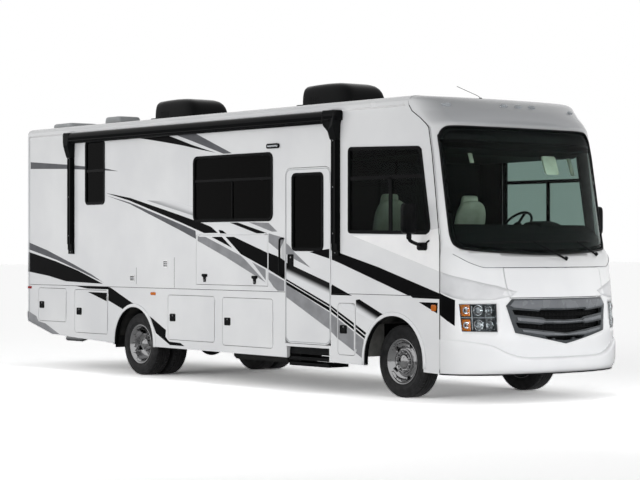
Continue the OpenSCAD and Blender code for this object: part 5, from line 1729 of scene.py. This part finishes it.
markers = []
for y, q in ((-1.00, 3.375), (-0.25, 3.385), (-0.03, 3.385), (0.19, 3.385), (0.92, 3.345)):
    centre = onSkin(y, q, -0.001)
    normal = skinNormal(y, q)
    across = normal.cross(Vector((0, 0, 1))).normalized()
    up = across.cross(normal)
    rings = [[centre + across * u + up * v + normal * out for u,
              v in squircle(0, 0, 0.055 * g, 0.020 * g, 3.0, 24)]
             for out, g in ((-0.004, 1.0), (0.010, 1.0), (0.020, 0.86), (0.024, 0.55))]
    markers.append(loftPart(rings))
joined("browMarkerLamps", markers, finish["clearLens"], smooth=True)
foot = Vector((frontX + 0.62, -0.40, 3.435))
whip = [foot + Vector((0.0, 0, 0.012)), foot + Vector((-0.04, 0, 0.045)), foot + Vector((-0.24, 0, 0.12)),
        foot + Vector((-0.40, 0, 0.180))]
joined("antenna", [tubePart(smoothPath(whip, 5), 0.0032, 8),
                   lathePart([(0.024, 0.0), (0.022, 0.014), (0.012, 0.024), (0.0006, 0.026)],
                             lambda out, u, v: foot + Vector((u, v, out)), 24)], finish["blackAbs"],
                             smooth=True)

for hand, side in ((-1, "right"), (1, "left")):
    gutter = [onSide(hand)(x, 3.352, 0.004) for x in (backX + 0.06, frontX - 6.0, frontX - 3.0,
                                                      frontX + 0.30)]
    joined(side + "RoofGutter", [tubePart(gutter, 0.009, 8)], finish["whiteVinyl"], smooth=True)
crease = [onSkin(y, 1.512 + creaseLift(abs(y)), -0.001) for y in [-0.76 + 1.52 * i / 40 for i in range(41)]]
joined("cowlCreaseLine", [tubePart(crease, 0.0035, 8)], finish["seal"], smooth=True)
# painted shade: grey tubes follow the cowl crease out past the hood, standing in for the shaded line under
# the crease
creaseShadeLines = []
for hand in (-1, 1):
    reach = [0.76 + 0.47 * i / 20 for i in range(21)]
    creaseShadeLines.append(tubePart([onSkin(hand * y, 1.512 + creaseLift(y), -0.0005) for y in reach], 0.0035, 8))
joined("cowlCreaseShadeLine", creaseShadeLines, finish["brow"], smooth=True)
print("front fittings built")

# ---- the rear: lamps, ladder and a blank plate

rear = {"lampY": 1.125, "ladderY": (-0.86, -0.50), "ladderRadius": 0.0125, "standOff": 0.044}


def onRear(y, z, d):
    return (backX - d, y, z)


def raised(outline, steps):
    # a lens or housing on the rear wall: steps are (how far out, how far drawn in)
    return loftPart([[onRear(u, v, d) for u, v in inset(outline, g)] for d, g in steps])


lampParts = {"red": [], "amber": [], "clear": [], "black": []}
for hand in (-1, 1):
    y = hand * rear["lampY"]
    shell = roundRect(y - 0.075, 0.865, y + 0.075, 1.285, 0.03)
    lampParts["black"].append(ringPart(shell, inset(shell, 0.012), 0.0, 0.030, onRear))
    for z, key in ((1.215, "red"), (1.105, "red"), (1.000, "amber"), (0.915, "clear")):
        tall = 0.090 if key != "clear" else 0.060
        outline = roundRect(y - 0.060, z - tall / 2, y + 0.060, z + tall / 2, 0.014)
        lampParts[key].append(raised(outline, ((0.0, 0.0), (0.018, 0.0), (0.026, 0.010), (0.029, 0.028))))
    reflector = squircle(y, 0.745, 0.045, 0.025, 4, 24)
    lampParts["red"].append(prism(reflector, 0.0, 0.004, lambda u, v,
                                  d: (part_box("rear_bumper")[0].x + 0.0006 - d * 0.1, u, v)))
for y in (-0.20, 0.0, 0.20):
    outline = squircle(y, 3.20, 0.050, 0.018, 3, 24)
    lampParts["red"].append(raised(outline, ((0.0, 0.0), (0.014, 0.0), (0.020, 0.006))))
stop = roundRect(-0.19, 3.085, 0.19, 3.125, 0.012)
lampParts["red"].append(raised(stop, ((0.0, 0.0), (0.014, 0.0), (0.020, 0.008))))
for key, material in (("red", "red"), ("amber", "amber"), ("clear", "clearLens"), ("black", "blackAbs")):
    joined("rearLamps" + key.title(), lampParts[key], finish[material], smooth=False)
plate = roundRect(-0.155, 0.935, 0.155, 1.095, 0.012)
bevelled(joined("numberPlate", [prism(plate, 0.006, 0.009, onRear)], finish["whiteVinyl"]), 0.001)
surround = roundRect(-0.185, 0.915, 0.185, 1.145, 0.03)
bevelled(joined("plateSurround", [ringPart(surround, inset(surround, 0.022), 0.0, 0.020, onRear),
                                  prism(roundRect(-0.05, 1.105, 0.05, 1.135, 0.01), 0.0, 0.028, onRear)],
                finish["blackAbs"]), 0.002)
y0, y1 = rear["ladderY"]
d, r = rear["standOff"], rear["ladderRadius"]
ladder = []
for y in (y0, y1):
    ladder.append(tubePart(smoothPath([onRear(y, 1.00, 0.0), onRear(y, 1.00, d * 0.7), onRear(y, 1.04, d),
                                       onRear(y, 1.30, d), onRear(y, 2.20, d), onRear(y, 3.10, d),
                                       onRear(y, 3.24, d),
                                       onRear(y, 3.285, d * 0.7), onRear(y, 3.29, 0.0)], 5), r, 12))
    for z in (1.55, 2.20, 2.80):
        ladder.append(tubePart([onRear(y, z, 0.0), onRear(y, z, d)], 0.009, 10))
for k in range(8):
    z = 1.15 + 0.28 * k
    ladder.append(tubePart([onRear(y0, z, d), onRear(y1, z, d)], r * 0.9, 12))
joined("rearLadder", ladder, finish["steel"], smooth=True)
cameraCase = squircle(0.0, 3.27, 0.055, 0.032, 5, 28)
joined("rearCameraHousing", [raised(cameraCase, ((0.0, 0.0), (0.035, 0.0), (0.050, 0.008)))],
       finish["blackAbs"])
rearStripes = {"black": [[(-1.23, 1.655), (-0.62, 1.585), (0.10, 1.44), (-0.55, 1.49), (-1.23, 1.385)]],
               "grey": [[(-1.23, 1.80), (-0.50, 1.735), (0.45, 1.55), (-0.45, 1.655), (-1.23, 1.70)],
                        [(-1.23, 2.985), (-0.30, 2.93), (0.40, 2.87), (-0.30, 2.885), (-1.23, 2.89)]]}
for tone, material in (("black", "blackVinyl"), ("grey", "greyVinyl")):
    outlines = rearStripes[tone] + [[(-y, z) for y, z in o] for o in rearStripes[tone]]
    joined("rearStripes" + tone.title(),
           [prism(o, 0.0002, 0.0009 if tone == "black" else 0.0006, onRear) for o in outlines],
           finish[material])
seam = [onRear(y, floorZ, -0.001) for y in (-1.22, 1.22)]
joined("rearSeamLine", [tubePart(seam, 0.0035, 6)], finish["seal"], smooth=True)
ribs = []
bumperLow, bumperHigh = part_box("rear_bumper")
for k in range(24):
    y = -1.15 + 0.1 * k
    ribs.append(boxPart((bumperLow.x + 0.006, y - 0.030, bumperHigh.z - 0.002),
                        (backX - 0.006, y + 0.030, bumperHigh.z + 0.002)))
bevelled(joined("bumperTreadPads", ribs, finish["blackAbs"]), 0.001)
print("rear built")

# ---- inside the cab: seats, header, visors, dashboard detail

seats = {
    "x": frontX - 0.420, "y": 0.650, "lean": 13.0,
    "puff": 4.0, "cap": 0.012, "frames": 16,  # cloth pressure, furthest swell and run length
}


def padShell(size, crown, pinch=0.05, divisions=(12, 12)):
    # a closed, crowned pad in its own axes: x long, y wide, z thick, centred at the origin
    long, wide, thick = size
    nx, ny = divisions
    top, bottom = [], []
    for i in range(nx + 1):
        for j in range(ny + 1):
            u, v = 2 * i / nx - 1, 2 * j / ny - 1
            # the ends narrow and the corners round off by the pinch
            x = long / 2 * u * (1 - pinch * 0.30 * abs(v) ** 3)
            y = wide / 2 * v * (1 - pinch * abs(u) ** 4)
            edge = (1 - abs(u) ** 5) * (1 - abs(v) ** 5)
            z = thick / 2 * (0.42 + 0.58 * edge ** 0.6) + crown * (1 - u * u) * (1 - v * v)
            top.append((x, y, z))
            bottom.append((x, y, -thick / 2 * (0.42 + 0.58 * edge ** 0.6)))
    wide1 = ny + 1
    count = len(top)
    faces = []
    for i in range(nx):
        for j in range(ny):
            a, b, c, d = i * wide1 + j, (i + 1) * wide1 + j, (i + 1) * wide1 + j + 1, i * wide1 + j + 1
            faces.append([a, b, c, d])
            faces.append([count + d, count + c, count + b, count + a])
    rim = [i * wide1 for i in range(nx + 1)] + [nx * wide1 + j for j in range(1, ny + 1)] + \
        [i * wide1 + ny for i in range(nx - 1, -1, -1)] + [j for j in range(ny - 1, 0, -1)]
    n = len(rim)
    faces += [[rim[k], count + rim[k], count + rim[(k + 1) % n], rim[(k + 1) % n]] for k in range(n)]
    return outward(top + bottom, faces)


def softPad(name, part, place, body="coach"):
    # a filled leather pad: blown up a little as cloth, then frozen
    points, faces = part
    points = [place @ Vector(p) for p in points]
    piece = meshPiece(name, points, faces, finish["leather"], body, smooth=True)
    withModifier(piece, "SUBSURF", levels=1, render_levels=1)
    puffUp(piece)
    withModifier(piece, "SUBSURF", levels=1, render_levels=1)
    return piece


def frozen(piece):
    # applies every modifier to the piece's own mesh
    depsgraph = bpy.context.evaluated_depsgraph_get()
    mesh = bpy.data.meshes.new_from_object(piece.evaluated_get(depsgraph))
    piece.modifiers.clear()
    piece.data = mesh
    mesh.shade_smooth()


def puffUp(piece):
    frozen(piece)
    rest = [v.co.copy() for v in piece.data.vertices]
    cloth = piece.modifiers.new("Filling", "CLOTH")
    cloth.settings.use_pressure = True
    cloth.settings.uniform_pressure_force = seats["puff"]
    cloth.settings.effector_weights.gravity = 0.0
    cloth.settings.tension_stiffness = 40
    cloth.settings.compression_stiffness = 40
    cloth.settings.bending_stiffness = 2
    cloth.settings.quality = 5
    cloth.point_cache.frame_start = 1
    cloth.point_cache.frame_end = seats["frames"]
    scene = bpy.context.scene
    for frameNumber in range(1, seats["frames"] + 1):
        scene.frame_set(frameNumber)
    frozen(piece)
    scene.frame_set(1)
    limit = seats["cap"]
    for vertex, start in zip(piece.data.vertices, rest):
        move = vertex.co - start
        if move.length > limit:
            vertex.co = start + move.normalized() * limit


def tilted(x, y, z, degrees):
    return Matrix.Translation((x, y, z)) @ Matrix.Rotation(math.radians(degrees), 4, "Y")


for hand, side in ((-1, "right"), (1, "left")):
    sx, sy = seats["x"], hand * seats["y"]
    cushionPlace = tilted(sx + 0.010, sy, 1.575, -3)
    cushion = softPad(side + "SeatCushion", padShell((0.530, 0.480, 0.140), 0.018), cushionPlace)
    if hand < 0:
        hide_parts("cab_seats")
    upright = 90 + seats["lean"]
    backPlace = tilted(sx - 0.295, sy, 1.955, upright)
    softPad(side + "SeatBack", padShell((0.760, 0.500, 0.130), 0.016, 0.34), backPlace)
    softPad(side + "Headrest", padShell((0.250, 0.270, 0.070), 0.018, 0.16),
            tilted(sx - 0.292, sy, 2.255, upright))
    for k in (-1, 1):
        softPad(f"{side}SeatArm{'Inner' if k * hand < 0 else 'Outer'}",
                padShell((0.330, 0.060, 0.055), 0.006),
                tilted(sx - 0.060, sy + k * 0.275, 1.835, -4))
    frameParts = [boxPart((sx - 0.15, sy - 0.14, floorZ - 0.002), (sx + 0.15, sy + 0.14, 1.505)),
                  boxPart((sx - 0.24, sy - 0.20, 1.488), (sx + 0.25, sy + 0.20, 1.512))]
    for k in (-1, 1):
        frameParts.append(tubePart([(sx - 0.24, sy + k * 0.262, 1.58), (sx - 0.245, sy + k * 0.270, 1.80),
                                    (sx - 0.10, sy + k * 0.272, 1.808)], 0.012, 10))
        frameParts.append(tubePart([(sx - 0.352, sy + k * 0.06, 2.17), (sx - 0.385, sy + k * 0.06, 2.29)],
                                   0.007, 8))
    bevelled(joined(side + "SeatFrame", frameParts, finish["blackAbs"]), 0.006)
    piping = []
    for k in (-1, 1):
        for place, along, out, crown, fall in (
                (cushionPlace, (-0.24, -0.12, 0.0, 0.12, 0.235), 0.155, 0.082, 0.02 / 0.26),
                (backPlace, (-0.20, -0.08, 0.06, 0.19, 0.31), 0.150, 0.078, 0.012 / 0.27)):
            line = [place @ Vector((u, k * out, crown - fall * abs(u))) for u in along]
            piping.append(tubePart(smoothPath(line, 4), 0.0035, 6))
    joined(side + "SeatPiping", piping, finish["leather"], smooth=True)
print("seats made")

cab = {"poleX": frontX - 0.98, "poleY": -0.30, "poleTop": 2.95, "poleRadius": 0.016, "clusterY": 0.60}
headerSection = [(-1.30, 2.78), (-1.30, 3.36), (0.50, 3.36), (0.56, 3.10), (0.66, 2.96), (0.70, 2.86),
                 (0.58, 2.80)]
header = prism(headerSection, -1.18, 1.18, lambda x, z, d: (frontX + x, d, z))
bevelled(joined("cabHeader", [header], finish["dash"]), 0.012)
pillars = []
for hand in (-1, 1):
    near, far = sorted((hand * 1.19, hand * 1.222))
    pillars.append(boxPart((frontX - 1.02, near, floorZ), (frontX - 0.74, far, 3.34)))
joined("cabPillars", pillars, finish["dash"])
# the cab partition is in the charcoal lining: painted shade for the dark coach behind the cab
screens = []
for hand in (-1, 1):
    curve = []
    for k in range(13):
        u = k / 12
        curve.append((frontX - 1.10 - 0.012 * math.sin(u * 12 * math.pi), hand * (0.46 + 0.74 * u)))
    points = [(x, y, z) for z in (floorZ + 0.02, 2.30, 3.30) for x, y in curve]
    faces = [[j * 13 + i, j * 13 + i + 1, (j + 1) * 13 + i + 1,
              (j + 1) * 13 + i] for j in range(2) for i in range(12)]
    screens.append((points, faces))
bulkhead = joined("cabPartition", screens, finish["shadeFelt"], smooth=True)
withModifier(bulkhead, "SOLIDIFY", thickness=0.02, offset=0.0)
visorParts = []
for hand, y0, y1 in ((-1, 1.02, 1.17), (-1, 0.62, 0.66), (1, 0.50, 0.72), (1, 1.06, 1.17)):
    low = 2.59 if y1 - y0 > 0.1 else 2.70
    outline = roundRect(y0, low, y1, 2.81, 0.035)
    visorParts.append(prism(outline, -0.010, 0.010, lambda y, z, d,
                            h=hand: (frontX + 0.70 + (2.80 - z) * 0.35 - max(abs(y) - 0.8, 0) * 0.5 + d,
                                     h * y, z)))
bevelled(joined("sunVisors", visorParts, finish["leather"]), 0.004)
pole = [(cab["poleX"], cab["poleY"], z) for z in (floorZ, cab["poleTop"])]
joined("cabGrabPole", [tubePart(pole, cab["poleRadius"], 14)], finish["chrome"], smooth=True)
dashParts = []
clusterY = cab["clusterY"]
hoodRing = [[(frontX + x, clusterY + y, z) for y,
             z in squircle(0, 1.965 + dz, 0.205 * g, 0.075 * g, 3.2, 32)]
            for x, g, dz in ((0.50, 1.0, 0.0), (0.56, 1.02, 0.004), (0.66, 0.95, 0.010), (0.76, 0.80, 0.0))]
dashParts.append(loftPart(hoodRing))
dashParts.append(prism(roundRect(-0.16, 1.70, 0.16, 1.93, 0.02), 0.0, 0.03,
                       lambda y, z, d: (frontX + 0.545 - d + (z - 1.70) * 0.05, y, z)))
sharpEdges(joined("instrumentHood", dashParts, finish["dash"]), 40)
screen = prism(roundRect(-0.135, 1.765, 0.135, 1.915, 0.012), 0.0, 0.002,
               lambda y, z, d: (frontX + 0.513 - d + (z - 1.70) * 0.05, y, z))
dials = [lathePart([(0.052, 0.0), (0.050, 0.003), (0.0006, 0.003)],
                   lambda out, u, v, k=k: (frontX + 0.498 - out, clusterY + k * 0.085 + u, 1.965 + v),
                   32) for k in (-1, 1)]
joined("dashScreens", [screen, *dials], finish["gloss"])
ventParts = []
for y in (-1.02, -0.30, 0.26, 1.02):
    outline = roundRect(y - 0.06, 1.835, y + 0.06, 1.90, 0.015)
    ventParts.append(ringPart(outline, inset(outline, 0.008), 0.0, 0.012, lambda u, v,
                              d: (frontX + 0.530 - d, u, v)))
    for k in range(3):
        ventParts.append(boxPart((frontX + 0.522, y - 0.05, 1.848 + 0.016 * k),
                                 (frontX + 0.534, y + 0.05, 1.852 + 0.016 * k)))
joined("dashVents", ventParts, finish["gloss"])
print("cab interior made")

# ---- floor, light and camera

stage = {"floorHalf": 150.0, "horizon": 0.95, "zenith": 0.05, "floorGain": 3.2, "floorAlbedo": 0.9,
         "frontLight": 52.0, "sideLight": 172.0}


def buildStage():
    half = stage["floorHalf"]
    floorMesh = bpy.data.meshes.new("studioFloor")
    floorMesh.from_pydata([(-half, -half, 0), (half, -half, 0), (half, half, 0), (-half, half, 0)], [],
                          [[0, 1, 2, 3]])
    floor = linkedObject("studioFloor", floorMesh)
    # matt white studio vinyl: the camera sees it as bright as the backdrop, with the shadow kept
    material = bpy.data.materials.new("studioFloorVinyl")
    material.use_nodes = True
    tree = material.node_tree
    tree.nodes.clear()
    rays = addNode(tree, "ShaderNodeLightPath")
    gain = stage["floorGain"]
    seen = addNode(tree, "ShaderNodeBsdfDiffuse", {"Color": (gain, gain, gain, 1)})
    lit = addNode(tree, "ShaderNodeBsdfDiffuse", {"Color": (stage["floorAlbedo"],) * 3 + (1,)})
    either = addNode(tree, "ShaderNodeMath", {"operation": "MAXIMUM"},
                     {0: rays.outputs["Is Camera Ray"], 1: rays.outputs["Is Transmission Ray"]})
    mix = addNode(tree, "ShaderNodeMixShader", None,
                  {0: either.outputs[0], 1: lit.outputs[0], 2: seen.outputs[0]})
    addNode(tree, "ShaderNodeOutputMaterial", None, {"Surface": mix.outputs[0]})
    floorMesh.materials.append(material)

    world = bpy.data.worlds.new("studioSky")
    bpy.context.scene.world = world
    world.use_nodes = True
    tree = world.node_tree
    tree.nodes.clear()
    place = addNode(tree, "ShaderNodeTexCoord")
    up = addNode(tree, "ShaderNodeSeparateXYZ", None, {0: place.outputs["Generated"]})
    level = addNode(tree, "ShaderNodeMapRange",
                    {"From Min": 0.0, "From Max": 0.9, "To Min": stage["horizon"],
                                                 "To Max": stage["zenith"]}, {"Value": up.outputs["Z"]})
    soft = addNode(tree, "ShaderNodeBackground", {"Color": (1, 1, 1, 1)}, {"Strength": level.outputs[0]})
    white = addNode(tree, "ShaderNodeBackground", {"Color": (1, 1, 1, 1), "Strength": 1.0})
    rays = addNode(tree, "ShaderNodeLightPath")
    first = addNode(tree, "ShaderNodeMath", {"operation": "MAXIMUM"},
                    {0: rays.outputs["Is Camera Ray"], 1: rays.outputs["Is Glossy Ray"]})
    either = addNode(tree, "ShaderNodeMath", {"operation": "MAXIMUM"},
                     {0: first.outputs[0], 1: rays.outputs["Is Transmission Ray"]})
    mix = addNode(tree, "ShaderNodeMixShader", None,
                  {0: either.outputs[0], 1: soft.outputs[0], 2: white.outputs[0]})
    addNode(tree, "ShaderNodeOutputWorld", None, {"Surface": mix.outputs[0]})


def softLight(name, watts, size, place, target, spread=180):
    lamp = bpy.data.lights.new(name, "AREA")
    lamp.shape = "RECTANGLE"
    lamp.size, lamp.size_y = size
    lamp.energy = watts
    lamp.spread = math.radians(spread)
    lampObject = linkedObject(name, lamp)
    lampObject.location = place
    lampObject.rotation_euler = (Vector(target) - Vector(place)).to_track_quat("-Z", "Y").to_euler()
    lampObject.visible_camera = False
    lampObject.visible_glossy = False


buildStage()
softLight("frontSoftbox", stage["frontLight"], (7, 1.6), (frontX + 9.0, 1.0, 0.9), (frontX, 0.3, 0.7), 44)
softLight("sideSoftbox", stage["sideLight"], (16, 2.0), (-1.0, -11.0, 1.3), (-1.0, 0, 1.5), 80)

view = {"place": (frontX + 17.129, -15.892, 1.744), "turn": 51.5, "pitch": 0.196, "lens": 110.3}
camera = bpy.data.cameras.new("studioCamera")
camera.sensor_width = 36.0
camera.lens = view["lens"]
camera.clip_end = 500
cameraObject = linkedObject("studioCamera", camera)
turn, pitch = math.radians(view["turn"]), math.radians(view["pitch"])
forward = Vector((-math.sin(turn) * math.cos(pitch), math.cos(turn) * math.cos(pitch), math.sin(pitch)))
cameraObject.location = view["place"]
cameraObject.rotation_euler = forward.to_track_quat("-Z", "Y").to_euler()
bpy.context.scene.camera = cameraObject
bpy.context.scene.view_settings.view_transform = "Standard"
print("stage and camera set")
